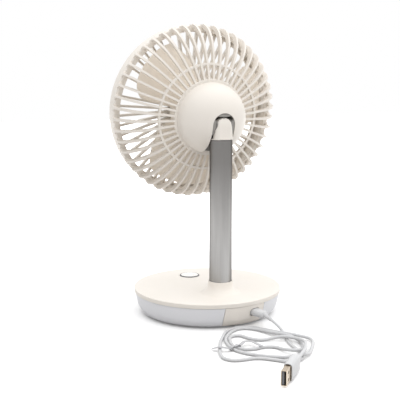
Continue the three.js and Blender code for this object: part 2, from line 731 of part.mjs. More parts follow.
function rearGrille() {
  const hub = spunRing(domeRadius - hubRingWall, domeRadius, -seatGap - hubRingDepth, -seatGap, ribCount);
  const guide = spunRing(guideRingRadius - guideRingWall / 2, guideRingRadius + guideRingWall / 2,
    -8 - guideRingDepth, -8, ribCount);
  const rimBack = ringBack + 1;
  const rim = spunRing(rimInner, rimOuter, rimBack - rimDepth, rimBack, ribCount);
  const ribEnd = rimBack - 0.5;
  const root = domeRadius - 0.6;
  const tip = ringRadius + ribOverhang;
  const outline = new THREE.Shape([
    [root, -0.8], [50, -4.5], [66, -10.5], [tip - 8, -19], [tip - 2, -29], [tip, ribEnd + 2.5], [tip, ribEnd],
    [rimInner + 0.3, ribEnd], [rimInner + 0.3, ribEnd + 1], [tip - ribDepth, ribEnd + 2.5],
    [tip - 2 - ribDepth, -29.5], [tip - 8.5 - ribDepth, -21.5], [64, -14.4], [50, -9], [root, -4],
  ].map(([r, y]) => new THREE.Vector2(r, y)));
  const seat = ringBack + seatGap + 0.1;
  const shoulder = spunRing(rimInner, ringRadius - 0.2, seat, seat + shoulderThickness, ribCount);
  return join(hub, guide, rim, shoulder, ...ribs(outline));
}

// One rib per step, cut from an outline in the radius and depth plane
function ribs(outline) {
  return Array.from({ length: ribCount }, (_, i) => {
    const rib = new THREE.ExtrudeGeometry(outline, { depth: ribThickness, bevelEnabled: false });
    return rib.translate(0, 0, -ribThickness / 2).rotateY((i + 0.5) * 360 / ribCount * degrees);
  });
}

function frontRing() {
  return spun([
    [ringRadius, ringBack],
    [ringRadius, ringFront + 3.5],
    [ringRadius - 1.2, ringFront + 0.9],
    [ringInner, ringFront],
    [ringInner - ringLip, ringFront],
    [ringInner - ringLip, ringFront + 3],
    [ringInner, ringFront + 4.5],
    [ringInner, ringBack],
    [ringRadius, ringBack],
  ], 48);
}

function frontGrille() {
  const outer = ringInner - ringLip - seatGap;
  const rim = spunRing(outer - frontRimWall, outer, ringFront, ringFront + 3, ribCount);
  const capRing = spunRing(capRadius + seatGap, capRadius + seatGap + capRingWall,
    ringFront, ringFront + frontRibDepth, ribCount / 2);
  const root = capRadius + seatGap + capRingWall / 2;
  const end = outer - frontRimWall / 2;
  const outline = new THREE.Shape([
    [root, ringFront + 0.2], [end, ringFront + 0.2], [end, ringFront + frontRibEndDepth],
    [root, ringFront + frontRibDepth - 0.2],
  ].map(([r, y]) => new THREE.Vector2(r, y)));
  return join(rim, capRing, ...ribs(outline));
}

function frontCap() {
  return spun([[0, ringFront + capThickness], [capRadius, ringFront + capThickness], [capRadius, ringFront + 0.6],
    [capRadius - 1, ringFront - 0.2], [0, ringFront - 1]], ribCount / 2);
}

// Motor levels along the axis
const plateBack = -seatGap;
const plateFront = plateBack - housingPlate;
const motorBack = plateFront - seatGap;
const motorFront = motorBack - motorLength;
const cupInner = motorRadius + seatGap;

function motorHousing() {
  const radius = domeRadius - hubRingWall - seatGap;
  const cupOuter = cupInner + motorCupWall;
  const body = spun([
    [bearingRadius, plateBack], [radius, plateBack], [radius, plateFront], [cupOuter, plateFront],
    [cupOuter, plateFront - motorCupDepth], [cupInner, plateFront - motorCupDepth], [cupInner, plateFront],
    [bearingRadius, plateFront], [bearingRadius, plateBack],
  ], 36);
  const holes = bracketScrewX().map((x) =>
    spunDisc(screwHoleRadius, plateFront - 1, plateBack + 1, 12).translate(x, 0, -pivotBelowAxis));
  return cut(body, ...holes);
}

function motorCan() {
  const floor = motorBack - bearingLength - 2 * seatGap;
  return spun([
    [shaftRadius + seatGap, motorBack], [motorRadius, motorBack], [motorRadius, motorFront],
    [motorRadius - motorWall, motorFront], [motorRadius - motorWall, floor - 1], [bearingRadius + 2, floor - 1],
    [bearingRadius + 2, floor], [bearingRadius + seatGap, floor], [bearingRadius + seatGap, motorBack - 1],
    [shaftRadius + seatGap, motorBack - 1], [shaftRadius + seatGap, motorBack],
  ], 24);
}

function motorEndPlate() {
  const outer = motorRadius - motorWall - seatGap;
  const hole = bearingRadius + seatGap;
  return spunRing(hole, outer, motorFront, motorFront + bearingLength, 24);
}

function bearing(front) {
  return spunRing(shaftRadius + seatGap, bearingRadius, front, front + bearingLength, 16);
}

const rearBearingFront = motorBack - 1 - seatGap - bearingLength;
const rotorBack = rearBearingFront - 2.2;
const rotorFront = motorFront + bearingLength + 1.5;

function magnetRing() {
  const outer = motorRadius - motorWall - seatGap;
  return spunRing(outer - magnetWall, outer, rotorFront, rotorBack, 24);
}

function rotor() {
  const radius = Math.min(rotorRadius, motorRadius - motorWall - seatGap - magnetWall - airGap);
  return spunRing(shaftRadius + seatGap, radius, rotorFront, rotorBack, 20);
}

// Blade between a rear and a front edge. Angles run clockwise from the top, seen from behind.
function blade() {
  const [across, along] = [6, 6];
  const root = hubRadius - hubWall / 2;
  const rows = [];
  for (const side of [-1, 1]) {
    for (let i = 0; i <= along; i++) {
      for (let j = 0; j <= across; j++) {
        const [u, v] = [i / along, j / across];
        const tip = bladeTipRadius - (v < 0.5 ? 9 : 2) * Math.abs(2 * v - 1) ** 4;
        const radius = root + (tip - root) * u;
        const turn = ((283 + u) * (1 - v) + (375 - 37 * u) * v) * degrees;
        const rear = -19.5 - 5.5 * u;
        const front = -(hubFront - 2.5) - 3.5 * u;
        const y = rear + (front - rear) * v + side * bladeThickness / 2;
        rows.push(-radius * Math.sin(turn), y, radius * Math.cos(turn));
      }
    }
  }
  const width = across + 1;
  const sheet = width * (along + 1);
  const index = [];
  const quad = (a, b, c, d) => index.push(a, b, c, a, c, d);
  for (let i = 0; i < along; i++) {
    for (let j = 0; j < across; j++) {
      const a = i * width + j;
      quad(a, a + 1, a + width + 1, a + width);
      quad(sheet + a, sheet + a + width, sheet + a + width + 1, sheet + a + 1);
    }
  }
  for (let j = 0; j < across; j++) {
    const end = along * width + j;
    quad(j, sheet + j, sheet + j + 1, j + 1);
    quad(end, end + 1, sheet + end + 1, sheet + end);
  }
  for (let i = 0; i < along; i++) {
    const a = i * width;
    const b = a + across;
    quad(a, a + width, sheet + a + width, sheet + a);
    quad(b, sheet + b, sheet + b + width, b + width);
  }
  const geometry = new THREE.BufferGeometry();
  geometry.setAttribute('position', new THREE.Float32BufferAttribute(rows, 3));
  geometry.setIndex(index);
  return geometry;
}

function impeller() {
  const [front, back] = [-hubFront, hubLength - hubFront];
  const inner = hubRadius - hubWall;
  const bore = shaftRadius + seatGap;
  const hub = spun([
    [bore, front], [hubRadius - 2.5, front], [hubRadius, front + 2.5], [hubRadius, back], [inner, back],
    [inner, front + hubWall + 1.5], [inner - 1.5, front + hubWall], [hubBossRadius, front + hubWall],
    [hubBossRadius, front + hubWall + hubBossLength], [bore, front + hubWall + hubBossLength], [bore, front],
  ], 30);
  const blades = Array.from({ length: bladeCount }, (_, i) => blade().rotateY(i * 360 / bladeCount * degrees));
  const clearHub = spunDisc(inner + hubWall / 2 - 0.4, front - 5, back + 5, 30);
  return join(hub, ...blades.map((one) => cut(one, clearHub)));
}

function shaft() {
  const back = rearBearingFront + bearingLength;
  return spunDisc(shaftRadius, back - shaftLength, back, 16);
}

function bladeNut() {
  const back = -hubFront - seatGap;
  const bore = spunDisc(shaftRadius + seatGap, back - nutThickness - 1, back + 1, 16);
  return cut(spunDisc(nutRadius, back - nutThickness, back, 6), bore);
}

function bracketScrew(x) {
  const under = plateFront - seatGap;
  const head = under - screwHeadHeight;
  return spun([
    [0, head], [screwHeadRadius - 0.3, head], [screwHeadRadius, under],
    [screwRadius, under], [screwRadius, bracketWall], [0, bracketWall],
  ], 12).translate(x, 0, -pivotBelowAxis);
}

function tiltPin() {
  const end = armOuter - 0.2;
  return rodAlongX(pinRadius, -end, end).translate(0, pivotBehindRim, -pivotBelowAxis);
}

function buildHead() {
  const head = new THREE.Group();
  head.rotation.x = -tiltAngle * degrees;
  const pivot = new THREE.Vector3(0, pivotBehindRim, -pivotBelowAxis).applyEuler(head.rotation);
  head.position.set(0, postY - pivot.y, pivotZ - pivot.z);
  fan.add(head);
  add(head, 'motor_cover', motorCover(), 'cream');
  add(head, 'tilt_bracket', tiltBracket(), 'darkPlastic');
  add(head, 'tilt_pin', tiltPin(), 'steel');
  bracketScrewX().forEach((x, i) => add(head, `bracket_screw_${i + 1}`, bracketScrew(x), 'steel'));
  add(head, 'rear_grille', rearGrille(), 'cream');
  add(head, 'front_ring', frontRing(), 'cream');
  add(head, 'front_grille', frontGrille(), 'cream');
  add(head, 'front_cap', frontCap(), 'cream');
  add(head, 'motor_housing', motorHousing(), 'cream');
  add(head, 'motor_can', motorCan(), 'steel');
  add(head, 'motor_end_plate', motorEndPlate(), 'darkPlastic');
  add(head, 'motor_magnets', magnetRing(), 'iron');
  add(head, 'rear_bearing', bearing(rearBearingFront), 'copper');
  add(head, 'front_bearing', bearing(motorFront), 'copper');
  add(head, 'motor_rotor', rotor(), 'copper');
  add(head, 'motor_shaft', shaft(), 'steel');
  add(head, 'impeller', impeller(), 'cream');
  add(head, 'blade_nut', bladeNut(), 'steel');
}

// Lead socket and the small plug, in a frame whose +Y runs out through the port
function usbSocket() {
  const body = roundedBar(socketWidth, socketThickness, 1.6, socketFace - socketDepth, socketFace);
  const [w, t] = [socketWidth - 2 * socketShell, socketThickness - 2 * socketShell];
  const mouth = roundedBar(w, t, 1.3, socketFace - socketDepth + 0.6, socketFace + 1);
  return cut(body, mouth);
}

function portBoard() {
  const [w, top] = [portBoardWidth / 2, -socketThickness / 2 - seatGap];
  return block([-w, socketFace - portBoardLength, top - boardThickness], [w, socketFace - 1, top]);
}

const plugFront = socketFace + seatGap + 0.2;
const reliefStart = plugFront + plugLength;

function portPlug() {
  const body = roundedBar(plugWidth, plugThickness, 2.4, plugFront, reliefStart);
  const relief = new THREE.CylinderGeometry(cordRadius + 0.5, 2.9, plugReliefLength + 2, 12);
  relief.translate(0, plugReliefLength / 2 - 1, 0).rotateX(-plugReliefDroop * degrees).translate(0, reliefStart, 0);
  return join(body, relief);
}

function plugTip() {
  return roundedBar(tipWidth, tipThickness, 1, plugFront - tipLength, plugFront - seatGap);
}

function buildPort() {
  const port = new THREE.Group();
  port.position.z = portZ;
  port.rotation.z = portAngle * degrees;
  fan.add(port);
  add(port, 'usb_socket', usbSocket(), 'steel');
  add(port, 'port_board', portBoard(), 'board');
  add(port, 'port_plug_body', portPlug(), 'cord');
  add(port, 'port_plug_tip', plugTip(), 'steel');
}

// USB-A plug lying on its narrow edge, in a frame whose +Y runs out through the tip
const usbBodyFront = -usbShellLength;
const usbBodyBack = usbBodyFront - usbBodyLength;

function usbShell() {
  const body = roundedBar(usbShellThickness, usbShellWidth, 0.6, usbBodyFront + seatGap, 0);
  const [w, h] = [usbShellThickness - 2 * usbShellWall, usbShellWidth - 2 * usbShellWall];
  const mouth = roundedBar(w, h, 0.4, usbBodyFront + 1, 1);
  const windows = [-1, 1].map((side) =>
    block([-usbShellThickness, -7.4, side * 3 - 1.1], [usbShellThickness, -5.2, side * 3 + 1.1]));
  return cut(body, mouth, ...windows);
}

function usbInsert() {
  const thick = usbShellThickness - 2 * usbShellWall;
  return block(
    [thick / 2 - seatGap - 1.7, usbBodyFront + 1 + seatGap, -usbShellWidth / 2 + usbShellWall + seatGap],
    [thick / 2 - seatGap, -0.6, usbShellWidth / 2 - usbShellWall - seatGap],
  );
}

function usbBody() {
  const body = roundedBar(usbBodyThickness, usbBodyWidth, 2.2, usbBodyBack, usbBodyFront);
  const relief = new THREE.CylinderGeometry(3.4, cordRadius + 0.5, usbReliefLength + 2, 12);
  return join(body, relief.translate(0, usbBodyBack - usbReliefLength / 2 + 1, 0));
}

function buildUsbPlug() {
  const plug = new THREE.Group();
  plug.position.set(usbTip.x, usbTip.y, usbBodyWidth / 2);
  plug.rotation.z = -usbHeading * degrees;
  fan.add(plug);
  add(plug, 'usb_plug_shell', usbShell(), 'steel');
  add(plug, 'usb_plug_insert', usbInsert(), 'cord');
  add(plug, 'usb_plug_body', usbBody(), 'cord');
}

// The cord's free stretches: out of the small plug down to the coil, and from the coil to the USB-A plug
function leadRoute() {
  const alongRelief = (distance) => {
    const out = reliefStart + distance * Math.cos(plugReliefDroop * degrees);
    const drop = distance * Math.sin(plugReliefDroop * degrees);
    const angle = portAngle * degrees;
    return [-out * Math.sin(angle), out * Math.cos(angle), portZ - drop];
  };
  return [
    alongRelief(plugReliefLength + seatGap),
    alongRelief(plugReliefLength + 3),
    ...leadWay.slice(0, leadPoints),
  ];
}

function tailRoute() {
  const alongPlug = (distance) => {
    const back = usbBodyBack - usbReliefLength - distance;
    const angle = usbHeading * degrees;
    return [usbTip.x + back * Math.sin(angle), usbTip.y + back * Math.cos(angle), usbBodyWidth / 2];
  };
  return [
    ...leadWay.slice(-tailPoints),
    alongPlug(2.4),
    alongPlug(seatGap),
  ];
}

// The tie's band, in the tie's own frame: a box shrunk on all sides by the inset
function tieBox(inset, halfLength) {
  const half = tieReach - inset;
  return block([-half, -halfLength, inset], [half, halfLength, coilHeight - inset]);
}

const placeTie = (geometry) => geometry.rotateZ(tieHeading * degrees).translate(tiePlace.x, tiePlace.y, 0);

function coil() {
  const curve = new THREE.CatmullRomCurve3(coilOutline.map(([x, y]) => new THREE.Vector3(x, y, 0)), true);
  const outline = new THREE.Shape(curve.getPoints(32).slice(0, -1));
  const eye = new THREE.Path();
  eye.absellipse(coilEye.x, coilEye.y, coilEyeLong, coilEyeWide, 0, 360 * degrees, false, coilEyeHeading * degrees);
  outline.holes.push(eye);
  const ring = new THREE.ExtrudeGeometry(outline, { depth: coilHeight, bevelEnabled: false, curveSegments: 8 });
  const waist = tieThickness + 2 * seatGap;
  const band = cut(tieBox(-3, tieWidth / 2 + seatGap), tieBox(waist, tieWidth));
  return cut(ring, placeTie(band));
}

function twistTie() {
  const half = tieWidth / 2;
  const band = cut(tieBox(seatGap, half), tieBox(seatGap + tieThickness, half + 1));
  const level = coilHeight / 3;
  const inner = tieReach - tieThickness;
  const shortEnd = block([inner, -half, level], [tieReach + tieShortEnd, half, level + tieThickness]);
  const longEnd = block([-tieReach - tieLongEnd, -half, level], [-inner, half, level + tieThickness]);
  return placeTie(join(band, shortEnd, longEnd));
}

function buildLead() {
  add(fan, 'cord_lead', cordAlong(leadRoute(), cordRadius, 12), 'cord');
  add(fan, 'cord_coil', coil(), 'cord');
  add(fan, 'twist_tie', twistTie(), 'cord');
  add(fan, 'cord_tail', cordAlong(tailRoute(), cordRadius, 6), 'cord');
}

buildBase();
buildHead();
buildPort();
buildUsbPlug();
buildLead();

export default fan;
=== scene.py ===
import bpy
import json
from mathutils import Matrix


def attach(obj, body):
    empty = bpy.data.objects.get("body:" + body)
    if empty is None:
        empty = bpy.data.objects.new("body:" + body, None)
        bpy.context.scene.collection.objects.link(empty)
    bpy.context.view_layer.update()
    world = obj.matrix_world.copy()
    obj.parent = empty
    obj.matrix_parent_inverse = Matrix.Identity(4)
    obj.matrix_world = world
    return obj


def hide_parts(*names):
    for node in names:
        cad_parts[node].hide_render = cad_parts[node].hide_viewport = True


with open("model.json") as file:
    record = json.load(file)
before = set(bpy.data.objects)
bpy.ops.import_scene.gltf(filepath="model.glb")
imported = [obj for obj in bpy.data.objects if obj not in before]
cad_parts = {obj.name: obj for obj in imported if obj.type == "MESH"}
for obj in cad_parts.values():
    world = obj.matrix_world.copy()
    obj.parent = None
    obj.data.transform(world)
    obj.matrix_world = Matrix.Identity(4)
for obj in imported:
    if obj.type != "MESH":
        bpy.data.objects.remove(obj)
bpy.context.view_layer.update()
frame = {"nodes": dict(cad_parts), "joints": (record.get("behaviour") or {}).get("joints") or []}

import json
from math import cos, pi, radians, sin

import bmesh
import bpy
from mathutils import Matrix, Vector

scene = bpy.context.scene

# Pieces are drawn in millimetres, each in the frame of its own part, and placed in metres.
mm = Matrix.Scale(0.001, 4)
spin = next(joint for joint in frame["joints"] if joint["name"] == "fan_spin")
headTilt = 6.5
headPlace = Matrix.Translation(spin["pos_m"]) @ Matrix.Rotation(radians(-headTilt), 4, "X") @ mm
port = {"angle": 14.5, "height": 13.7}
portPlace = (Matrix.Translation((0, 0, port["height"] / 1000))
             @ Matrix.Rotation(radians(port["angle"]), 4, "Z") @ mm)
usbPlug = {"tip": (36.3, 213.3, 8.0), "heading": 44.4, "shell": 12.4, "body": 27.0, "relief": 10.0}
plugPlace = (Matrix.Translation(Vector(usbPlug["tip"]) / 1000)
             @ Matrix.Rotation(radians(-usbPlug["heading"]), 4, "Z") @ mm)

# The camera stands behind the fan and to one side
view = {"place": (341.5, 732.2, 236.3), "heading": 155.5, "dip": 8.88, "lens": 75.6}
camera = bpy.data.objects.new("camera", bpy.data.cameras.new("camera"))
scene.collection.objects.link(camera)
camera.location = Vector(view["place"]) / 1000
camera.rotation_euler = (radians(90 - view["dip"]), 0, radians(view["heading"]))
camera.data.lens = view["lens"]
camera.data.clip_start = 0.01
scene.camera = camera
scene.view_settings.view_transform = "Standard"
print("camera set")


# The lead's way over the table, from the small plug's sleeve to the USB-A plug
lead = {"radius": 1.4, "plugEnd": 83.12, "sleeve": 9.0, "droop": 17.0, "length": 0.81}
leadWay = [
    (-24.5, 95.5, 8.6), (-26, 99.5, 6.2), (-26.5, 103.5, 3.9), (-26, 108, 2.1), (-24, 114.5, 1.5),
    (-21.5, 121, 1.5), (-19, 129, 1.5), (-17.5, 138, 1.5), (-16.5, 146, 1.5), (-14.5, 153.5, 1.5),
    (-12, 160, 1.5), (-8.5, 165.5, 1.5), (-3, 169, 1.5), (3, 169, 1.5), (7.5, 166, 1.5), (11.5, 161, 1.5),
    (16, 156.5, 1.5), (20, 152.5, 1.5), (25.5, 149.5, 1.5), (32, 148.5, 1.5), (39.5, 148, 1.5),
    (45.5, 145.5, 1.5), (49, 140, 1.5), (48.5, 132, 1.5), (45, 122, 1.5), (39.5, 111, 1.5),
    (33.5, 99.5, 1.5), (25.5, 88, 1.5), (17.5, 77.5, 1.5), (8.5, 71.5, 1.5), (-1.5, 70, 1.5),
    (-11.5, 75, 1.5), (-18, 88, 2.2), (-22, 101, 3.6), (-25, 110, 4.8), (-30.5, 115.5, 4.2),
    (-36, 119.5, 3.2), (-40, 125, 2.6), (-40, 131.5, 2.2), (-35, 140, 1.7), (-28, 149, 1.5),
    (-21, 157.5, 2.2), (-15, 163, 3.8), (-9.5, 165, 4.6), (-3.5, 164, 4.2), (1.5, 160, 2.4), (7.5, 154, 1.5),
    (15.5, 148, 1.5), (23, 140.5, 1.5), (29, 132, 1.5), (32, 122, 1.5), (31, 109.5, 1.5), (27, 96.5, 1.5),
    (19, 85, 1.5), (9.5, 76.5, 1.5), (-1, 73.5, 1.5), (-9.5, 79, 1.5), (-15, 90, 2.2), (-18.5, 103, 3.6),
    (-22, 112, 4.6), (-25, 117, 4.5), (-28.5, 122, 2.9), (-29.5, 127.5, 1.8), (-28, 134, 1.5),
    (-25, 140, 1.9), (-22.5, 145, 2.8), (-21, 149.5, 3.8), (-17, 153.5, 4.6), (-11.5, 154, 4.6),
    (-7.5, 150.5, 4.1), (-5.5, 145, 3.2), (-5, 139, 2), (-3.5, 132.5, 1.5), (1, 129, 1.5), (7, 127.5, 1.5),
    (13.5, 128.5, 1.5), (20, 127.5, 1.5), (25, 124, 1.5), (28, 116, 1.5), (27, 107, 1.5), (25, 101.5, 1.5),
    (23, 96, 1.5), (19.5, 91.5, 1.5), (14.5, 89.5, 1.5), (10, 92, 1.5), (8, 97, 1.5), (6, 102, 1.5),
    (3.5, 106, 1.5), (0, 109, 1.5), (-3.5, 110.5, 1.6), (-9.5, 112, 2.3), (-15, 114.5, 3.6), (-20, 118, 4.5),
    (-24, 124, 4.9), (-26.5, 131.5, 5.4), (-26, 141, 6.2), (-21, 151.5, 7), (-14, 161.5, 7.6),
    (-6, 170, 7.9),
]


def alongSleeve(distance):
    out = lead["plugEnd"] + distance * cos(radians(lead["droop"]))
    drop = distance * sin(radians(lead["droop"]))
    angle = radians(port["angle"])
    return (-out * sin(angle), out * cos(angle), port["height"] - drop)


def behindPlug(distance):
    back = usbPlug["shell"] + usbPlug["body"] + usbPlug["relief"] + distance
    angle = radians(usbPlug["heading"])
    tipX, tipY, tipZ = usbPlug["tip"]
    return (tipX - back * sin(angle), tipY - back * cos(angle), tipZ)


def softLine(name, runs, radius, ribbon=0.0):
    # Each run is (points, closed). A ribbon is the flat half of a strip's width.
    curve = bpy.data.curves.new(name, "CURVE")
    curve.dimensions = "3D"
    curve.twist_mode = "Z_UP"
    curve.bevel_depth = radius  # in millimetres: each knot's radius brings it to metres
    curve.bevel_resolution = 3
    curve.extrude = ribbon
    curve.resolution_u = 6
    curve.use_fill_caps = True
    for points, closed in runs:
        spline = curve.splines.new("BEZIER")
        spline.bezier_points.add(len(points) - 1)
        spline.use_cyclic_u = closed
        for knot, point in zip(spline.bezier_points, points):
            knot.co = Vector(point) / 1000
            knot.handle_left_type = knot.handle_right_type = "AUTO"
            knot.tilt = pi / 2 if ribbon else 0
            knot.radius = 1 / 1000
    piece = bpy.data.objects.new(name, curve)
    scene.collection.objects.link(piece)
    return piece


sunk = 2.0  # how far the lead's ends reach into the sleeves
leadPoints = [alongSleeve(lead["sleeve"] - sunk), alongSleeve(lead["sleeve"] + sunk), *leadWay,
              behindPlug(sunk), behindPlug(-sunk)]
leadCord = softLine("leadCord", [(leadPoints, False)], lead["radius"])
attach(leadCord, "base")
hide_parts("cord_lead", "cord_coil", "cord_tail")
print("lead laid")


# Floor and light, in metres. The floor is white to the eye and to reflections, and greyer to what it lights
# from below. It shows the fan's shadow, which fades to plain white from clearFrom to clearTo.
studio = {"floorSide": 6.0, "floorSeen": "#ffffff", "floorBounce": "#bcbab8", "floorLift": 0.07,
          "clearFrom": 0.16, "clearTo": 0.5, "even": 0.58, "above": 1.1, "side": -0.22,
          "top": 1.5, "topSide": 1.2, "topPlace": (-0.1, 0.35, 1.3), "topAim": (0, 0, 0.12)}


def hexColour(code):
    # An sRGB hex value, made linear
    parts = [int(code[at:at + 2], 16) / 255 for at in (1, 3, 5)]
    return (*[part / 12.92 if part <= 0.04045 else ((part + 0.055) / 1.055) ** 2.4 for part in parts], 1)


def addNode(tree, kind, settings=None, links=None):
    node = tree.nodes.new(kind)
    for name, value in (settings or {}).items():
        setattr(node, name, value)
    for name, value in (links or {}).items():
        if isinstance(value, bpy.types.NodeSocket):
            tree.links.new(value, node.inputs[name])
        else:
            node.inputs[name].default_value = value
    return node


def seenDirectly(tree):
    # 1 for rays that carry the view, a reflection or what is seen through a piece, and 0 for light
    rays = addNode(tree, "ShaderNodeLightPath")
    eye = addNode(tree, "ShaderNodeMath", {"operation": "MAXIMUM"},
                  {0: rays.outputs["Is Camera Ray"], 1: rays.outputs["Is Glossy Ray"]})
    return addNode(tree, "ShaderNodeMath", {"operation": "MAXIMUM"},
                   {0: eye.outputs[0], 1: rays.outputs["Is Transmission Ray"]}).outputs[0]


def buildWorld():
    world = bpy.data.worlds.new("studio")
    scene.world = world
    world.use_nodes = True
    tree = world.node_tree
    tree.nodes.clear()
    seen = seenDirectly(tree)
    # Soft light from all round, far stronger from above and a little stronger from -X
    way = addNode(tree, "ShaderNodeTexCoord").outputs["Generated"]
    lean = addNode(tree, "ShaderNodeVectorMath", {"operation": "DOT_PRODUCT"},
                   {0: way, 1: (studio["side"], 0, studio["above"])}).outputs["Value"]
    soft = addNode(tree, "ShaderNodeMath", {"operation": "ADD"}, {0: lean, 1: studio["even"]})
    strength = addNode(tree, "ShaderNodeMix", {"data_type": "FLOAT"}, {0: seen, 2: soft.outputs[0], 3: 1.0})
    sky = addNode(tree, "ShaderNodeBackground", None,
                  {"Color": (1, 1, 1, 1), "Strength": strength.outputs[0]})
    addNode(tree, "ShaderNodeOutputWorld", None, {"Surface": sky.outputs[0]})


def buildFloor():
    bm = bmesh.new()
    bmesh.ops.create_grid(bm, x_segments=1, y_segments=1, size=studio["floorSide"] / 2)
    mesh = bpy.data.meshes.new("floor")
    bm.to_mesh(mesh)
    bm.free()
    floor = bpy.data.objects.new("floor", mesh)
    scene.collection.objects.link(floor)
    material = bpy.data.materials.new("whitePaperFloor")
    material.use_nodes = True
    tree = material.node_tree
    tree.nodes.clear()
    seen = seenDirectly(tree)
    colour = addNode(tree, "ShaderNodeMix", {"data_type": "RGBA"},
                     {0: seen, 6: hexColour(studio["floorBounce"]), 7: hexColour(studio["floorSeen"])})
    paper = addNode(tree, "ShaderNodeBsdfDiffuse", None, {"Color": colour.outputs[2]})
    place = addNode(tree, "ShaderNodeTexCoord").outputs["Object"]
    away = addNode(tree, "ShaderNodeVectorMath", {"operation": "LENGTH"}, {0: place}).outputs["Value"]
    clear = addNode(tree, "ShaderNodeMapRange", {"interpolation_type": "SMOOTHSTEP"}, {
        0: away, 1: studio["clearFrom"], 2: studio["clearTo"], 3: studio["floorLift"], 4: 1.0})
    lift = addNode(tree, "ShaderNodeMath", {"operation": "MULTIPLY"}, {0: seen, 1: clear.outputs[0]})
    glow = addNode(tree, "ShaderNodeEmission", None, {"Strength": lift.outputs[0]})
    both = addNode(tree, "ShaderNodeAddShader", None, {0: paper.outputs[0], 1: glow.outputs[0]})
    addNode(tree, "ShaderNodeOutputMaterial", None, {"Surface": both.outputs[0]})
    mesh.materials.append(material)


def addSoftbox(name, place, aim, side, power):
    light = bpy.data.lights.new(name, "AREA")
    light.shape = "SQUARE"
    light.size = side
    light.energy = power
    box = bpy.data.objects.new(name, light)
    scene.collection.objects.link(box)
    box.location = place
    box.rotation_euler = (Vector(aim) - Vector(place)).to_track_quat("-Z", "Y").to_euler()


buildWorld()
buildFloor()
addSoftbox("topBox", studio["topPlace"], studio["topAim"], studio["topSide"], studio["top"])
print("floor and lights ready")


# Finishes. Sizes are in millimetres, and patterns read Object coordinates.
plasticIor = 1.5  # ABS, PVC and nylon all lie near this


def newFinish(name, colour, roughness, metallic=0.0):
    material = bpy.data.materials.new(name)
    material.use_nodes = True
    tree = material.node_tree
    shader = tree.nodes["Principled BSDF"]
    shader.inputs["Base Color"].default_value = hexColour(colour)
    shader.inputs["Roughness"].default_value = roughness
    shader.inputs["Metallic"].default_value = metallic
    if not metallic:
        shader.inputs["IOR"].default_value = plasticIor
    return material, tree, shader


def noiseOf(tree, size, stretch=(1, 1, 1), detail=2.0):
    place = addNode(tree, "ShaderNodeTexCoord").outputs["Object"]
    shaped = addNode(tree, "ShaderNodeMapping", None, {"Vector": place, "Scale": stretch})
    return addNode(tree, "ShaderNodeTexNoise", None,
                   {"Vector": shaped.outputs[0], "Scale": 1000 / size, "Detail": detail}).outputs[0]


def tintOf(tree, pattern, look):
    # Two shades of one colour, laid by a pattern
    return addNode(tree, "ShaderNodeMix", {"data_type": "RGBA"}, {
        0: pattern, 6: hexColour(look["colour"]), 7: hexColour(look["shade"])}).outputs[2]


def addSkin(tree, shader, pattern, look, glossier, duller, depth):
    # One pattern makes the sheen uneven and raises the skin. The depth is in metres.
    gloss = addNode(tree, "ShaderNodeMapRange", None, {
        0: pattern, 1: 0.3, 2: 0.7, 3: look["roughness"] - glossier, 4: look["roughness"] + duller})
    tree.links.new(gloss.outputs[0], shader.inputs["Roughness"])
    skin = addNode(tree, "ShaderNodeBump", None,
                   {"Strength": look["bump"], "Distance": depth, "Height": pattern})
    tree.links.new(skin.outputs[0], shader.inputs["Normal"])


def mouldedPlastic(name, look):
    # Moulded in a spark-eroded tool: even colour, a soft sheen, and a skin that ripples very slightly.
    # "cloud" is the size of its faint patches and "grain" the size of its ripples.
    material, tree, shader = newFinish(name, look["colour"], look["roughness"])
    tint = tintOf(tree, noiseOf(tree, look["cloud"]), look)
    tree.links.new(tint, shader.inputs["Base Color"])
    addSkin(tree, shader, noiseOf(tree, look["grain"]), look, 0.05, 0.07, 0.0001)
    return material


# ABS in warm white: the covers, the cages and the post. The real grain is near 0.1, drawn here at 0.9.
creamAbs = mouldedPlastic("moulded ABS, warm white", {
    "colour": "#f1ebe4", "shade": "#ede7de", "roughness": 0.42, "cloud": 30, "grain": 0.9, "bump": 0.12})
# The impeller's ABS is a little warmer, and painted lighter than the covers' ABS to stand in for light that
# comes through the thin blades
bladeAbs = mouldedPlastic("moulded ABS, impeller", {
    "colour": "#fbf3e8", "shade": "#f7eee1", "roughness": 0.38, "cloud": 24, "grain": 0.9, "bump": 0.1})
# The button's ABS is polished: whiter and glossier
buttonAbs = mouldedPlastic("moulded ABS, polished white", {
    "colour": "#faf8f4", "shade": "#f6f3ee", "roughness": 0.3, "cloud": 10, "grain": 1.2, "bump": 0.06})
# Cool light grey ABS of the skirt and the bottom plate
greyAbs = mouldedPlastic("moulded ABS, cool grey", {
    "colour": "#ebecf0", "shade": "#e6e7eb", "roughness": 0.45, "cloud": 35, "grain": 0.9, "bump": 0.14})
# Darker grey ABS of a ring round the button's disc, which makes the dark line at the button's edge, and of the
# tongue of the USB plug
slateAbs = mouldedPlastic("moulded ABS, slate grey", {
    "colour": "#77777a", "shade": "#6f6f72", "roughness": 0.5, "cloud": 8, "grain": 0.9, "bump": 0.12})
# Glass-filled nylon of the tilt bracket and the friction washers: grey, dry and slightly mottled
darkNylon = mouldedPlastic("glass-filled nylon", {
    "colour": "#9d9a96", "shade": "#918e8a", "roughness": 0.6, "cloud": 5, "grain": 0.7, "bump": 0.3})
# Black PBT of the USB plug's core and the switch's plunger, with a low sheen; the motor's wire takes it too
blackPbt = mouldedPlastic("moulded PBT, black", {
    "colour": "#242322", "shade": "#1d1c1b", "roughness": 0.5, "cloud": 5, "grain": 0.6, "bump": 0.15})
# Soft white PVC of the lead and its two plugs
leadPvc = mouldedPlastic("soft PVC, white", {
    "colour": "#d5d5d6", "shade": "#cecfd1", "roughness": 0.38, "cloud": 18, "grain": 1.2, "bump": 0.15})
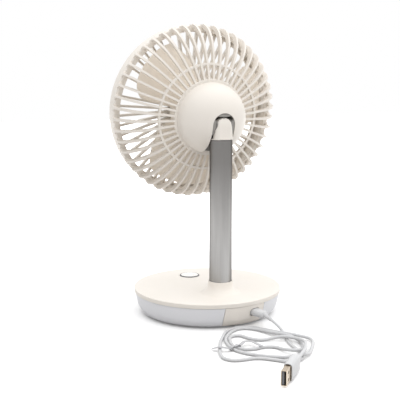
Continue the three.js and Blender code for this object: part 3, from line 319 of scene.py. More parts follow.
# The tie is a rolled strip of the same, duller, and painted a little darker for the shade on its upright faces
tiePvc = mouldedPlastic("rolled PVC strip", {
    "colour": "#c2c2c4", "shade": "#bababd", "roughness": 0.5, "cloud": 12, "grain": 1.2, "bump": 0.15})
# Silicone rubber of the feet: dark, matt and slightly pitted
footRubber = mouldedPlastic("moulded silicone rubber", {
    "colour": "#4b4b4c", "shade": "#3f3f40", "roughness": 0.82, "cloud": 4, "grain": 0.8, "bump": 0.4})


def drawnMetal(name, look):
    # Drawn, plated, rolled or cast stock: "line" is the size of its marks, and "stretch" draws them out
    material, tree, shader = newFinish(name, look["colour"], look["roughness"], 1.0)
    lines = noiseOf(tree, look["line"], look.get("stretch", (1, 1, 1)), 3.0)
    colour = tintOf(tree, lines, look)
    if "paintedShadeTop" in look:
        # Painted shade: the metal is darker towards its top, for the shade under the head
        place = addNode(tree, "ShaderNodeTexCoord").outputs["Object"]
        height = addNode(tree, "ShaderNodeSeparateXYZ", None, {0: place}).outputs["Z"]
        share = addNode(tree, "ShaderNodeMapRange", None,
                        {0: height, 1: look["fade"][0] / 1000, 2: look["fade"][1] / 1000})
        colour = addNode(tree, "ShaderNodeMix", {"data_type": "RGBA"},
                         {0: share.outputs[0], 6: colour, 7: hexColour(look["paintedShadeTop"])}).outputs[2]
    if "brim" in look:
        # At a glancing view the finish stays grey instead of turning mirror-bright
        shader.inputs["Specular Tint"].default_value = hexColour(look["brim"])
    tree.links.new(colour, shader.inputs["Base Color"])
    addSkin(tree, shader, lines, look, 0.06, 0.06, 0.00005)
    return material


# Satin anodised aluminium tube, drawn along its length: broad soft highlights and faint upright lines. Its
# colour is darker towards the top, as painted shade under the head.
satinAluminium = drawnMetal("satin anodised aluminium", {
    "colour": "#a7a6a5", "shade": "#9d9c9b", "roughness": 0.42, "line": 0.9, "stretch": (1, 1, 0.02),
    "bump": 0.25, "paintedShadeTop": "#7b7977", "fade": (45, 150), "brim": "#858381"})
# Zinc-plated steel of the screws, the pin, the pole's foot and the motor's can: bright, with a fine grain
zincSteel = drawnMetal("zinc-plated steel", {
    "colour": "#bdbcb8", "shade": "#a9a8a3", "roughness": 0.34, "line": 0.6, "bump": 0.2})
# Nickel-plated sheet of the plug's shell, with the warm cast of nickel
nickelSheet = drawnMetal("nickel-plated sheet", {
    "colour": "#d3c4b0", "shade": "#c6b6a1", "roughness": 0.28, "line": 0.7, "stretch": (1, 0.1, 1),
    "bump": 0.15})
# Sintered bronze of the bearings: brown gold and finely porous. The motor's rotor takes it too.
sinteredBronze = drawnMetal("sintered bronze", {
    "colour": "#b3834c", "shade": "#94683a", "roughness": 0.5, "line": 0.5, "bump": 0.5})
# Raw cast iron of the weight in the base: dark, rough and dull
castIron = drawnMetal("cast iron, raw", {
    "colour": "#6d6b69", "shade": "#555351", "roughness": 0.68, "line": 1.1, "bump": 1.0})
# Sintered ferrite of the motor's magnets: dark, dry and grainy
blackFerrite = mouldedPlastic("sintered ferrite", {
    "colour": "#4c4a49", "shade": "#413f3e", "roughness": 0.7, "cloud": 3, "grain": 0.5, "bump": 0.5})


def boardFinish():
    # Glass-epoxy board under green solder mask: the weave shows as faint squares, about 0.8 apart
    material, tree, shader = newFinish("glass-epoxy board", "#23553b", 0.38)
    place = addNode(tree, "ShaderNodeTexCoord").outputs["Object"]
    weave = addNode(tree, "ShaderNodeTexChecker", None, {
        "Vector": place, "Scale": 1000 / 0.8, "Color1": hexColour("#24583d"), "Color2": hexColour("#1f4f36")})
    tree.links.new(weave.outputs["Color"], shader.inputs["Base Color"])
    return material


greenBoard = boardFinish()
print("finishes made")


# Tools for shapes. A point is (a, b), (a, b, rounding) or (a, b, rounding, segments).
merging = 0.002  # points nearer than this are one point


def drawLine(bm, points, closed, flat):
    # A line through the points, each rounded as it says. flat gives the place of (a, b).
    corners = [bm.verts.new(flat(point[0], point[1])) for point in points]
    for first, second in zip(corners, corners[1:]):
        bm.edges.new((first, second))
    if closed:
        bm.edges.new((corners[-1], corners[0]))
    for corner, point in zip(corners, points):
        if len(point) > 2:
            segments = point[3] if len(point) > 3 else 4
            bmesh.ops.bevel(bm, geom=[corner], offset=point[2], offset_type="OFFSET", segments=segments,
                            profile=0.5, affect="VERTICES", material=-1)
    return bm


def turned(profile, axis="Z", steps=96, closed=False):
    # A turned piece from points of (radius, along), round the base's Z or the head's Y
    bm = bmesh.new()
    upright = axis == "Z"
    drawLine(bm, profile, closed, lambda r, h: (r, 0, h) if upright else (r, h, 0))
    bmesh.ops.spin(bm, geom=bm.verts[:] + bm.edges[:], cent=(0, 0, 0), dvec=(0, 0, 0), angle=2 * pi,
                   axis=(0, 0, 1) if upright else (0, 1, 0), steps=steps, use_merge=True, use_duplicate=False)
    bmesh.ops.remove_doubles(bm, verts=bm.verts, dist=merging)
    bmesh.ops.recalc_face_normals(bm, faces=bm.faces)
    return bm


def ring(inner, outer, low, high, rounding, axis="Z", steps=96):
    return turned([(inner, low, rounding, 2), (outer, low, rounding, 2), (outer, high, rounding, 2),
                   (inner, high, rounding, 2)], axis, steps, True)


def cornersOf(pulled):
    return [part for part in pulled["geom"] if isinstance(part, bmesh.types.BMVert)]


def slab(outline, low, high, along="Z"):
    # An outline drawn flat and pulled from low to high along one axis
    places = {"X": lambda a, b: (low, a, b), "Y": lambda a, b: (a, low, b), "Z": lambda a, b: (a, b, low)}
    pull = {"X": (high - low, 0, 0), "Y": (0, high - low, 0), "Z": (0, 0, high - low)}[along]
    bm = bmesh.new()
    drawLine(bm, outline, True, places[along])
    bmesh.ops.contextual_create(bm, geom=bm.edges[:])
    pulled = bmesh.ops.extrude_face_region(bm, geom=bm.faces[:])
    bmesh.ops.translate(bm, verts=cornersOf(pulled), vec=pull)
    bmesh.ops.recalc_face_normals(bm, faces=bm.faces)
    return bm


def block(low, high):
    bm = bmesh.new()
    bmesh.ops.create_cube(bm, size=1)
    bmesh.ops.scale(bm, verts=bm.verts, vec=[b - a for a, b in zip(low, high)])
    bmesh.ops.translate(bm, verts=bm.verts, vec=[(a + b) / 2 for a, b in zip(low, high)])
    return bm


def rod(radius, low, high, axis="Z", steps=48):
    bm = bmesh.new()
    bmesh.ops.create_cone(bm, cap_ends=True, segments=steps, radius1=radius, radius2=radius, depth=high - low)
    turn = {"X": ("Y", 90), "Y": ("X", -90), "Z": ("Z", 0)}[axis]
    bmesh.ops.rotate(bm, verts=bm.verts, matrix=Matrix.Rotation(radians(turn[1]), 3, turn[0]))
    middle = (low + high) / 2
    bmesh.ops.translate(bm, verts=bm.verts, vec=[middle if axis == name else 0 for name in "XYZ"])
    return bm


def roundSection(width, thickness, corner):
    w, t = width / 2, thickness / 2
    return [(a, b, corner, 6) for a, b in ((-w, -t), (w, -t), (w, t), (-w, t))]


def roundBar(width, thickness, corner, start, end):
    # A bar along Y with a rounded section
    return slab(roundSection(width, thickness, corner), start, end, "Y")


def lofted(width, thickness, corner, stages):
    # The same bar through stages of (along, share of width, share of thickness)
    bm = bmesh.new()
    drawLine(bm, roundSection(width, thickness, corner), True, lambda a, b: (a, 0, b))
    rim = bm.edges[:]
    bmesh.ops.contextual_create(bm, geom=rim)
    (lastAlong, lastWide, lastThick), *others = stages
    bmesh.ops.scale(bm, verts=bm.verts, vec=(lastWide, 1, lastThick))
    bmesh.ops.translate(bm, verts=bm.verts, vec=(0, lastAlong, 0))
    for along, wide, thick in others:
        pulled = bmesh.ops.extrude_edge_only(bm, edges=rim)
        corners = cornersOf(pulled)
        rim = [part for part in pulled["geom"] if isinstance(part, bmesh.types.BMEdge) and part.is_boundary]
        bmesh.ops.translate(bm, verts=corners, vec=(0, along - lastAlong, 0))
        bmesh.ops.scale(bm, verts=corners, vec=(wide / lastWide, 1, thick / lastThick))
        lastAlong, lastWide, lastThick = along, wide, thick
    bmesh.ops.contextual_create(bm, geom=rim)
    bmesh.ops.recalc_face_normals(bm, faces=bm.faces)
    return bm


def moved(bm, x=0.0, y=0.0, z=0.0):
    bmesh.ops.translate(bm, verts=bm.verts, vec=(x, y, z))
    return bm


def rotated(bm, angle, axis="Z"):
    bmesh.ops.rotate(bm, verts=bm.verts, matrix=Matrix.Rotation(radians(angle), 3, axis))
    return bm


def together(*parts):
    whole = parts[0]
    for part in parts[1:]:
        mesh = bpy.data.meshes.new("part")
        part.to_mesh(mesh)
        part.free()
        whole.from_mesh(mesh)
        bpy.data.meshes.remove(mesh)
    return whole


def scratchPiece(bm):
    mesh = bpy.data.meshes.new("scratch")
    bm.to_mesh(mesh)
    bm.free()
    piece = bpy.data.objects.new("scratch", mesh)
    scene.collection.objects.link(piece)
    return piece


def carved(body, *steps):
    # The body after each (operation, tool) in turn
    blank = scratchPiece(body)
    tools = []
    for operation, tool in steps:
        tools.append(scratchPiece(tool))
        carve = blank.modifiers.new(operation, "BOOLEAN")
        carve.operation = operation
        carve.object = tools[-1]
        carve.solver = "EXACT"
    bpy.context.view_layer.update()
    result = bmesh.new()
    result.from_object(blank, bpy.context.evaluated_depsgraph_get())
    for piece in [blank, *tools]:
        mesh = piece.data
        bpy.data.objects.remove(piece)
        bpy.data.meshes.remove(mesh)
    bmesh.ops.remove_doubles(result, verts=result.verts, dist=merging)
    bmesh.ops.dissolve_degenerate(result, dist=merging / 2, edges=result.edges)
    bmesh.ops.recalc_face_normals(result, faces=result.faces)
    return result


def finished(name, bm, place, body, finish, slot, node, edge=0.0, crease=35, rounds=2):
    # Sets a piece in its place with its finish, for one node of the frame. An edge width rounds every corner
    # sharper than the crease.
    mesh = bpy.data.meshes.new(name)
    bm.to_mesh(mesh)
    bm.free()
    mesh.transform(place)
    mesh.materials.append(finish)
    mesh.shade_smooth()
    piece = bpy.data.objects.new(name, mesh)
    scene.collection.objects.link(piece)
    if edge:
        soften = piece.modifiers.new("edges", "BEVEL")
        soften.width = edge / 1000
        soften.segments = rounds
        soften.limit_method = "ANGLE"
        soften.angle_limit = radians(crease)
        soften.use_clamp_overlap = True
        level = piece.modifiers.new("shading", "WEIGHTED_NORMAL")
        level.weight = 50
    else:
        mesh.set_sharp_from_angle(angle=radians(crease))
    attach(piece, body)
    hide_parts(node)
    return piece


def creamPiece(name, bm, place, body, node, **edges):
    # Most of the outside is the same ABS
    finished(name, bm, place, body, creamAbs, "cream_plastic", node, **edges)


# Base: cover with the pole's collar, skirt, panel round the socket, button
base = {"radius": 72.0, "height": 25.2, "lipRadius": 71.6, "lipBottom": 21.0, "lipInner": 67.7,
        "rebate": 18.5, "rebateInner": 65.7, "wall": 2.2, "edge": 0.8}
collar = {"y": 29.9, "hole": 10.9, "outer": 11.7, "top": 37.0, "fillet": 9.0, "flare": 14.0, "sunk": 0.5}
button = {"y": -43.3, "radius": 9.9, "hole": 10.25, "disc": 8.9, "top": 26.1, "play": 0.3, "flange": 1.4,
          "thickness": 1.6, "dish": 7.6, "gap": 0.08, "rimBelow": 0.15, "stem": 2.2, "stemLow": 19.2}
# Posts under the cover: radius, lower end and place
coverPosts = {"board": (2.2, 17.0, 14.85), "port": (2.2, 11.7, 4.9, 50.0), "screw": (3.6, 4.4, 48.0)}


def coverPost(kind, x, y):
    radius, low = coverPosts[kind][:2]
    return moved(rod(radius, low, base["height"] - base["wall"] + 1, steps=24), x, y)


def buildCover():
    height, under = base["height"], base["height"] - base["wall"]
    shell = turned([
        (0, height), (base["radius"], height, base["edge"], 7),
        (base["lipRadius"], base["lipBottom"], 0.4, 3), (base["lipInner"], base["lipBottom"]),
        (base["lipInner"], base["rebate"]), (base["rebateInner"], base["rebate"]),
        (base["rebateInner"], under), (0, under)], steps=144)
    outer, low = collar["outer"], height - 0.02  # the flare ends a hair below the top, to join without a step
    neck = moved(turned([
        (0, collar["top"]), (outer, collar["top"], 0.35, 3), (outer, low, collar["fillet"], 10),
        (outer + collar["flare"], low), (outer + collar["flare"], under + collar["sunk"]),
        (0, under + collar["sunk"])], steps=72), y=collar["y"])
    holes = [("DIFFERENCE", moved(rod(radius, 0, 60, steps=72), y=y))
             for radius, y in ((collar["hole"], collar["y"]), (button["hole"], button["y"]))]
    posts = []
    for side in (-1, 1):
        posts.append(coverPost("board", side * coverPosts["board"][2], button["y"]))
        across, out = coverPosts["port"][2:]
        posts.append(rotated(coverPost("port", side * across, out), port["angle"]))
    reach = coverPosts["screw"][2]
    for quarter in range(4):
        turn = pi / 4 + quarter * pi / 2
        posts.append(coverPost("screw", reach * cos(turn), reach * sin(turn)))
    cover = together(carved(shell, ("UNION", neck), *holes), *posts)
    creamPiece("topCover", cover, mm, "base", "base_cover", edge=0.25, crease=40)


skirt = {"foot": 63.6, "footHeight": 2.2, "turn": (67.0, 5.2), "swell": (69.6, 12.5), "top": 70.8,
         "height": 20.7, "wall": 2.0, "swellInner": 67.4, "footInner": 64.4, "ledge": 59.0,
         "ledgeLow": 4.4, "ledgeHigh": 6.4, "seat": 62.3}
# The panel's place, half its width and its side's lean are in degrees
panel = {"centre": 6.25, "half": 17.85, "gap": 0.32, "lean": 1.2, "mouth": (11.6, 7.5, 3.4, 55, 80)}


def skirtRing():
    # The side swells a little between its foot and the lip
    return turned([
        (skirt["foot"], skirt["footHeight"], 0.5, 2), (*skirt["turn"], 3.4, 6), (*skirt["swell"], 5.0, 5),
        (skirt["top"], skirt["height"]), (skirt["top"] - skirt["wall"], skirt["height"]),
        (skirt["swellInner"], skirt["swell"][1], 4.0, 4), (skirt["footInner"], skirt["ledgeHigh"]),
        (skirt["ledge"], skirt["ledgeHigh"]), (skirt["ledge"], skirt["ledgeLow"]),
        (skirt["seat"], skirt["ledgeLow"]), (skirt["seat"], skirt["footHeight"])], steps=180, closed=True)


def wedge(centre, half):
    # A sector from the middle out past the skirt, which cuts the panel free
    reach = 110.0
    corners = [(0, 0)] + [(-reach * sin(radians(turn)), reach * cos(radians(turn)))
                          for turn in (centre - half, centre, centre + half)]
    bm = slab(corners, -5, 30)
    for corner in [v for v in bm.verts if v.co.x > 1]:  # this side's joint leans out towards the foot
        lean = panel["lean"] if corner.co.z > 0 else -panel["lean"]
        bmesh.ops.rotate(bm, verts=[corner], matrix=Matrix.Rotation(radians(lean), 3, "Z"))
    return bm


def buildSkirt():
    opened = carved(skirtRing(), ("DIFFERENCE", wedge(panel["centre"], panel["half"])))
    finished("skirt", opened, mm, "base", greyAbs, "grey_plastic", "base_skirt", edge=0.25, crease=40)
    half = panel["half"] - panel["gap"]
    mouth = rotated(moved(roundBar(*panel["mouth"]), z=port["height"]), port["angle"])
    plate = carved(skirtRing(), ("INTERSECT", wedge(panel["centre"], half)), ("DIFFERENCE", mouth))
    creamPiece("socketPanel", plate, mm, "base", "port_panel", edge=0.3, crease=40)


def buildButton():
    high = base["height"] - base["wall"] - button["play"]
    low = high - button["thickness"]
    disc, radius, top = button["disc"], button["radius"], button["top"]
    cap = turned([
        (0, button["stemLow"]), (button["stem"], button["stemLow"]), (button["stem"], low), (disc, low),
        (disc, top, 0.3, 4), (button["dish"], top - 0.05, 0.6, 3), (0, top - 0.12)], steps=72)
    finished("powerButton", moved(cap, y=button["y"]), mm, "button", buttonAbs, "cream_plastic", "power_button")
    inner, flange, rimTop = disc + button["gap"], button["hole"] + button["flange"], top - button["rimBelow"]
    rim = turned([
        (inner, low), (flange, low, 0.2, 2), (flange, high, 0.2, 2), (radius, high),
        (radius, rimTop, 0.35, 4), (inner, rimTop, 0.2, 2)], steps=72, closed=True)
    finished("buttonRim", moved(rim, y=button["y"]), mm, "button", slateAbs, "grey_plastic", "power_button")


buildCover()
buildSkirt()
buildButton()
print("base built")


# Pole and the post on its top. The notch near the pole's foot lets the motor's wire in.
pole = {"radius": 10.6, "wall": 1.2, "low": 7.3, "top": 171.3, "notch": ((-3.7, 30, 11.4), (3.7, 44, 18.8))}
post = {"y": 32.7, "rear": 39.2, "front": 28.7, "half": 8.8, "corner": 3.7, "top": 191.9, "crown": 183.0,
        "wideFoot": 1.03, "wideCrown": 0.94, "thickCrown": 0.97, "gap": 0.3, "rim": 172.4,
        "plug": 9.1, "plugLow": 151.3}
# Cuts in the post: flats and washer seats beside the hinge, the pin's hole, and the way of the motor's wire
pivot = {"z": 185.3, "flat": 6.6, "sweep": 6.6, "washer": 5.3, "pin": 2.3, "reach": 12.0}
wireWay = {"radius": 2.7, "low": 140.0, "high": 179.0, "front": 23.0, "exitLow": 172.6}


def buildPole():
    tube = ring(pole["radius"] - pole["wall"], pole["radius"], pole["low"], pole["top"], 0.25)
    tube = carved(moved(tube, y=collar["y"]), ("DIFFERENCE", block(*pole["notch"])))
    finished("poleTube", tube, mm, "base", satinAluminium, "pole_aluminium", "pole_tube")


def postThumb(seat):
    # A rounded bar that narrows a little on its way up and closes in an arched crown
    stages = []
    for at in range(7):
        share = at / 6
        stages.append((seat + (post["crown"] - seat) * share,
                       post["wideFoot"] + (post["wideCrown"] - post["wideFoot"]) * share,
                       1 + (post["thickCrown"] - 1) * share))
    for turn in range(9, 90, 9):
        share = cos(radians(turn))
        stages.append((post["crown"] + (post["top"] - post["crown"]) * sin(radians(turn)),
                       post["wideCrown"] * share, post["thickCrown"] * share ** 0.6))
    bar = lofted(2 * post["half"], post["rear"] - post["front"], post["corner"], stages)
    return moved(rotated(bar, 90, "X"), y=(post["rear"] + post["front"]) / 2)


def buildPost():
    seat = pole["top"] + post["gap"]
    plug = moved(rod(post["plug"], post["plugLow"], post["rim"] - 0.2, steps=64), y=collar["y"])
    rim = moved(turned([(0, seat), (pole["radius"], seat, 0.3, 2), (pole["radius"], post["rim"], 0.4, 3),
                        (0, post["rim"])], steps=72), y=collar["y"])
    y, z, reach, wire = post["y"], pivot["z"], pivot["reach"], wireWay["radius"]
    cuts = []
    for side in (-1, 1):
        near, far = sorted((side * pivot["flat"], side * reach))
        cuts += [moved(rod(pivot["washer"], near, far, "X", 40), y=y, z=z),
                 block((near, post["front"] - 2, z - pivot["sweep"]), (far, y, z + pivot["sweep"]))]
    cuts += [moved(rod(pivot["pin"], -reach, reach, "X", 32), y=y, z=z),
             moved(rod(wire, wireWay["low"], wireWay["high"], steps=32), y=y),
             block((-wire, wireWay["front"], wireWay["exitLow"]), (wire, y, wireWay["high"]))]
    knuckle = carved(plug, ("UNION", rim), ("UNION", postThumb(seat)), *[("DIFFERENCE", cut) for cut in cuts])
    creamPiece("tiltPost", knuckle, mm, "base", "tilt_knuckle", edge=0.3, crease=40)


buildPole()
buildPost()
print("pole built")


# Head, in its own frame: the axis is Y, and the rim of the motor cover is at y = 0
dome = {"radius": 33.8, "depth": 31.5, "wall": 2.0}
slot = {"half": 11.2, "axis": -2.0, "wall": 1.4, "bracket": 4.5}
hinge = {"behind": 25.8, "below": -2.0, "pin": 2.3}
screwHoles = {"x": 22.2, "radius": 1.4}
beyond = 40.0  # past the cover on every side


def domeSolid(inset=0.0):
    bm = bmesh.new()
    bmesh.ops.create_uvsphere(bm, u_segments=96, v_segments=48, radius=1)
    rotated(bm, 90, "X")
    radius = dome["radius"] - inset
    bmesh.ops.scale(bm, verts=bm.verts, vec=(radius, dome["depth"] - inset, radius))
    bmesh.ops.bisect_plane(bm, geom=bm.verts[:] + bm.edges[:] + bm.faces[:], plane_co=(0, 0, 0),
                           plane_no=(0, -1, 0), clear_outer=True)
    rim = [e for e in bm.edges if e.is_boundary]
    bmesh.ops.contextual_create(bm, geom=rim)
    bmesh.ops.recalc_face_normals(bm, faces=bm.faces)
    return bm


def slotBar(half, start, end, low):
    # A bar along Y, round on top, that reaches down to low
    top = slot["axis"] + half
    arch = half - 0.02  # just short of the middle, where the two corners would meet
    return slab([(-half, low), (half, low), (half, top, arch, 16), (-half, top, arch, 16)], start, end, "Y")


def buildDome():
    inner = moved(domeSolid(dome["wall"]), y=-0.01)  # a hair forward, to open the front
    shell = carved(domeSolid(), ("DIFFERENCE", inner),
                   ("DIFFERENCE", slotBar(slot["half"], -1, beyond, -beyond)))
    creamPiece("motorCover", shell, headPlace, "head", "motor_cover", edge=0.45, crease=40, rounds=3)


def crossRod(radius, start, end, steps):
    # A rod along the hinge
    return moved(rod(radius, start, end, "X", steps), y=hinge["behind"], z=hinge["below"])


def screwHole(side, start, end):
    hole = rod(screwHoles["radius"], start, end, "Y", 24)
    return "DIFFERENCE", moved(hole, x=side * screwHoles["x"], z=hinge["below"])


# Two arms with a boss at the hinge, a channel that lines the slot, and ears for its screws. "above", "below"
# and "behind" are how far the arms reach past the hinge.
bracket = {"ears": 12.0, "earHalf": 4.0, "gap": 0.3, "armInner": 9.1, "armOuter": 10.9, "armFront": 3.5,
           "above": 5.0, "below": 9.0, "behind": 3.5, "boss": 5.0, "bossInner": 8.1, "armGap": 0.6}
# A hood round the hinge closes the slot over the post's crown, and turns clear of it
hood = {"inner": 9.1, "outer": 10.9, "side": 0.6, "above": 2.0, "behind": 6.2, "gap": 0.7}


def bracketArm(side):
    near, far = sorted((side * bracket["armInner"], side * bracket["armOuter"]))
    start, end = sorted((side * bracket["bossInner"], side * bracket["armOuter"]))
    plate = block((near, bracket["armFront"], hinge["below"] - bracket["below"]),
                  (far, hinge["behind"] + bracket["behind"], hinge["below"] + bracket["above"]))
    return carved(plate, ("UNION", crossRod(bracket["boss"], start, end, 48)),
                  ("INTERSECT", domeSolid(bracket["armGap"])),
                  ("DIFFERENCE", crossRod(hinge["pin"], start - 1, end + 1, 32)))


def bracketHood():
    across, wide = slot["half"] + hood["side"], 30.0
    y, z = hinge["behind"], hinge["below"]
    return carved(crossRod(hood["outer"], -across, across, 72),
                  ("DIFFERENCE", crossRod(hood["inner"], -wide, wide, 72)),
                  ("DIFFERENCE", block((-wide, y - wide, z - wide), (wide, y + wide, z + hood["above"]))),
                  ("DIFFERENCE", block((-wide, y + hood["behind"], z - wide), (wide, y + wide, z + wide))),
                  ("INTERSECT", domeSolid(hood["gap"])))


def buildBracket():
    outer, middle = slot["half"] + slot["wall"], hinge["below"]
    reach, half = outer + bracket["ears"], bracket["earHalf"]
    body = carved(slotBar(outer, 0, dome["depth"], -dome["radius"]),
                  ("DIFFERENCE", slotBar(slot["half"], slot["bracket"], beyond, -beyond)),
                  ("UNION", block((-reach, 0, middle - half), (reach, slot["bracket"], middle + half))),
                  ("INTERSECT", domeSolid(dome["wall"] + bracket["gap"])))
    body = carved(body, screwHole(-1, -1, 6), screwHole(1, -1, 6))
    finished("tiltBracket", together(body, bracketArm(-1), bracketArm(1), bracketHood()), headPlace, "head",
             darkNylon, "dark_plastic", "tilt_bracket", edge=0.25, crease=40)


buildDome()
buildBracket()
print("motor cover built")


# Grilles: slats, thin and deep, that run from the hub out and round into the rim
slats = {"count": 48, "thickness": 2.0}
# Rings of the two cages: inner and outer radius, start and end along the axis, rounding of the edges
rear = {"hub": (31.0, 33.8, -4.3, -0.3, 0.6), "collar": (33.0, 36.5, -4.4, -1.2, 0.4),
        "guide": (49.0, 51.2, -9.0, -5.2, 0.5), "rim": (78.2, 80.3, -44.5, -38.0, 0.5),
        "shoulder": (78.2, 83.3, -38.6, -37.2, 0.4)}
front = {"rim": (76.5, 79.3, -55, -52, 0.5), "middle": (19.8, 22.4, -55, -48, 0.5)}
# Each rear slat widens into a foot: from and to this radius, where it ends along the axis, and its outline
slatFoot = {"inner": 81.2, "outer": 84.6, "end": -38.5, "wide": 2.6, "step": (1.1, 1.2, 0.9, 3),
            "tip": (-0.1, 4.2)}
band = {"radius": 83.5, "inner": 80.6, "face": -55.0, "back": -39.0, "lip": 1.0, "lipBack": -52.0,
        "taper": 1.5}
cap = {"radius": 19.5, "back": -52.0, "edge": -55.0, "bulge": (12, -55.75), "middle": -56.0}


def slatRing(outline, *more):
    # One slat drawn in the plane of the radius and the depth, then turned round the axis with what joins it
    half = slats["thickness"] / 2
    first = slab([(along, radius, *rest) for radius, along, *rest in outline], -half, half, "X")
    one = bpy.data.meshes.new("slat")
    first = together(first, *more)
    first.to_mesh(one)
    first.free()
    whole = bmesh.new()
    for at in range(slats["count"]):
        turn = Matrix.Rotation(radians((at + 0.5) * 360 / slats["count"]), 4, "Y")
        copy = one.copy()
        copy.transform(turn)
        whole.from_mesh(copy)
        bpy.data.meshes.remove(copy)
    bpy.data.meshes.remove(one)
    return whole


def oneFoot():
    half, end = slats["thickness"] / 2, slatFoot["end"]
    right = [(half + slatFoot["wide"], end)]
    right += [(half + out, end + along, *rest) for out, along, *rest in (slatFoot["step"], slatFoot["tip"])]
    return slab(right + [(-x, *rest) for x, *rest in reversed(right)], slatFoot["inner"], slatFoot["outer"])


def headRing(sizes, steps=144):
    return ring(*sizes, "Y", steps)


def buildRearGrille():
    cage = slatRing([
        (33.2, -0.8), (50, -4.5, 8), (66, -10.5, 7, 5), (77.7, -19, 6.5, 6), (83.7, -29, 4.5, 5),
        (85.7, -38.5, 1.2, 4), (81.1, -38.5), (79.1, -29.5, 4, 4), (72.6, -21.5, 6, 5), (64, -14.4, 7, 5),
        (50, -9, 8), (33.2, -4)], oneFoot())
    cage = together(cage, *[headRing(sizes) for sizes in rear.values()])
    creamPiece("rearGrille", cage, headPlace, "head", "rear_grille", edge=0.35, crease=40)


def buildFrontRing():
    radius, inner, face, back = band["radius"], band["inner"], band["face"], band["back"]
    lip = inner - band["lip"]
    profile = [(radius, back, 0.7, 3), (radius, face, 3.2, 8), (lip, face, 0.3, 2), (lip, band["lipBack"]),
               (inner, band["lipBack"] + band["taper"]), (inner, back, 0.4, 2)]
    creamPiece("frontRing", turned(profile, "Y", 180, True), headPlace, "head", "front_ring")


def buildFrontGrille():
    cage = slatRing([(21.1, -54.8), (77.9, -54.8), (77.9, -50.2, 0.5, 2), (21.1, -48.2)])
    cage = together(cage, headRing(front["rim"]), headRing(front["middle"], 96))
    creamPiece("frontGrille", cage, headPlace, "head", "front_grille", edge=0.35, crease=40)
    disc = turned([(0, cap["back"]), (cap["radius"], cap["back"], 0.2, 2),
                   (cap["radius"], cap["edge"], 0.8, 5), (*cap["bulge"], 5, 5), (0, cap["middle"])], "Y")
    creamPiece("frontCap", disc, headPlace, "head", "front_cap")


# The motor sits in a cup on a round plate
motorSeat = {"plate": 30.7, "hole": 3.0, "back": -0.3, "face": -3.1, "cup": 17.5, "cupInner": 15.5,
             "cupFace": -19.1}


def buildMotorHousing():
    plate, cup, inner, hole = [motorSeat[name] for name in ("plate", "cup", "cupInner", "hole")]
    back, face, deep = [motorSeat[name] for name in ("back", "face", "cupFace")]
    seat = turned([
        (hole, back), (plate, back, 0.3, 2), (plate, face, 0.3, 2), (cup, face), (cup, deep, 0.5, 3),
        (inner, deep, 0.4, 2), (inner, face), (hole, face)], "Y", closed=True)
    seat = carved(seat, screwHole(-1, -6, 2), screwHole(1, -6, 2))
    creamPiece("motorHousing", seat, headPlace, "head", "motor_housing", edge=0.2, crease=40)


buildRearGrille()
buildFrontRing()
buildFrontGrille()
buildMotorHousing()
print("grilles built")


# Impeller: three broad blades that sweep back to their rear edges
hub = {"radius": 25.0, "wall": 2.0, "front": -43.0, "back": -17.0, "boss": 4.0, "bossBack": -30.0,
       "bore": 1.5}
# Each of a blade's two edges has its turn round the axis in degrees and its depth, both as the value at the
# hub and the gain by the tip, and how far the tip is rounded off there
blades = {"count": 3, "tip": 72.5, "thickness": 1.5,
          "rearTurn": (283, 1), "rearDepth": (-19.5, -5.5), "rearRounding": 9,
          "frontTurn": (375, -37), "frontDepth": (-40.5, -3.5), "frontRounding": 2}


def oneBlade():
    bm = bmesh.new()
    bmesh.ops.create_grid(bm, x_segments=20, y_segments=24, size=0.5)
    root = hub["radius"] - hub["wall"] / 2
    for corner in bm.verts:
        u, v = corner.co.x + 0.5, corner.co.y + 0.5  # u runs from hub to tip, v from rear edge to front edge
        rounding = blades["rearRounding"] if v < 0.5 else blades["frontRounding"]
        radius = root + (blades["tip"] - rounding * abs(2 * v - 1) ** 4 - root) * u
        rearTurn, frontTurn, rearDepth, frontDepth = [
            blades[name][0] + blades[name][1] * u
            for name in ("rearTurn", "frontTurn", "rearDepth", "frontDepth")]
        turn = radians(rearTurn * (1 - v) + frontTurn * v)
        depth = rearDepth + (frontDepth - rearDepth) * v + blades["thickness"] / 2
        corner.co = (-radius * sin(turn), depth, radius * cos(turn))
    pulled = bmesh.ops.extrude_face_region(bm, geom=bm.faces[:])
    bmesh.ops.translate(bm, verts=cornersOf(pulled), vec=(0, -blades["thickness"], 0))
    bmesh.ops.recalc_face_normals(bm, faces=bm.faces)
    return bm


def buildImpeller():
    radius, bore, boss, wall = hub["radius"], hub["bore"], hub["boss"], hub["wall"]
    face, back, inside = hub["front"], hub["back"], hub["front"] + wall
    body = turned([
        (bore, face), (radius, face, 2.6, 7), (radius, back, 0.4, 2), (radius - wall, back, 0.4, 2),
        (radius - wall, inside, 1.5, 4), (boss, inside), (boss, hub["bossBack"], 0.3, 2),
        (bore, hub["bossBack"])], "Y", closed=True)
    whole = together(body, *[rotated(oneBlade(), at * 360 / blades["count"], "Y")
                             for at in range(blades["count"])])
    finished("impellerBlades", whole, headPlace, "fan_rotor", bladeAbs, "cream_plastic", "impeller",
             edge=0.5, crease=50)


buildImpeller()
print("impeller built")


# The lead's two plugs, each with its moulded sleeve
def sleeve(thick, thin, length, rings):
    # A tapered bend guard along +Y, with grooves between its rings
    step, ringShare = length / rings, 0.62
    line = [(0, -1), (thick, -1)]
    for at in range(rings):
        near = thick + (thin - thick) * at / rings
        far = thick + (thin - thick) * (at + ringShare) / rings
        line += [(near, at * step + 0.25, 0.12, 2), (far, (at + ringShare) * step, 0.15, 2)]
        if at < rings - 1:
            line += [(far - 0.45, (at + 0.66) * step), (far - 0.5, (at + 0.96) * step)]
    line += [(thin, length, 0.2, 2), (0, length)]
    return turned(line, "Y", 40)


smallPlug = {"width": 10.4, "thickness": 6.6, "corner": 3.1, "front": 65.12, "back": lead["plugEnd"],
             "grooves": 3, "firstGroove": 9.2, "grooveStep": 2.3, "sleeve": (2.3, 1.6)}


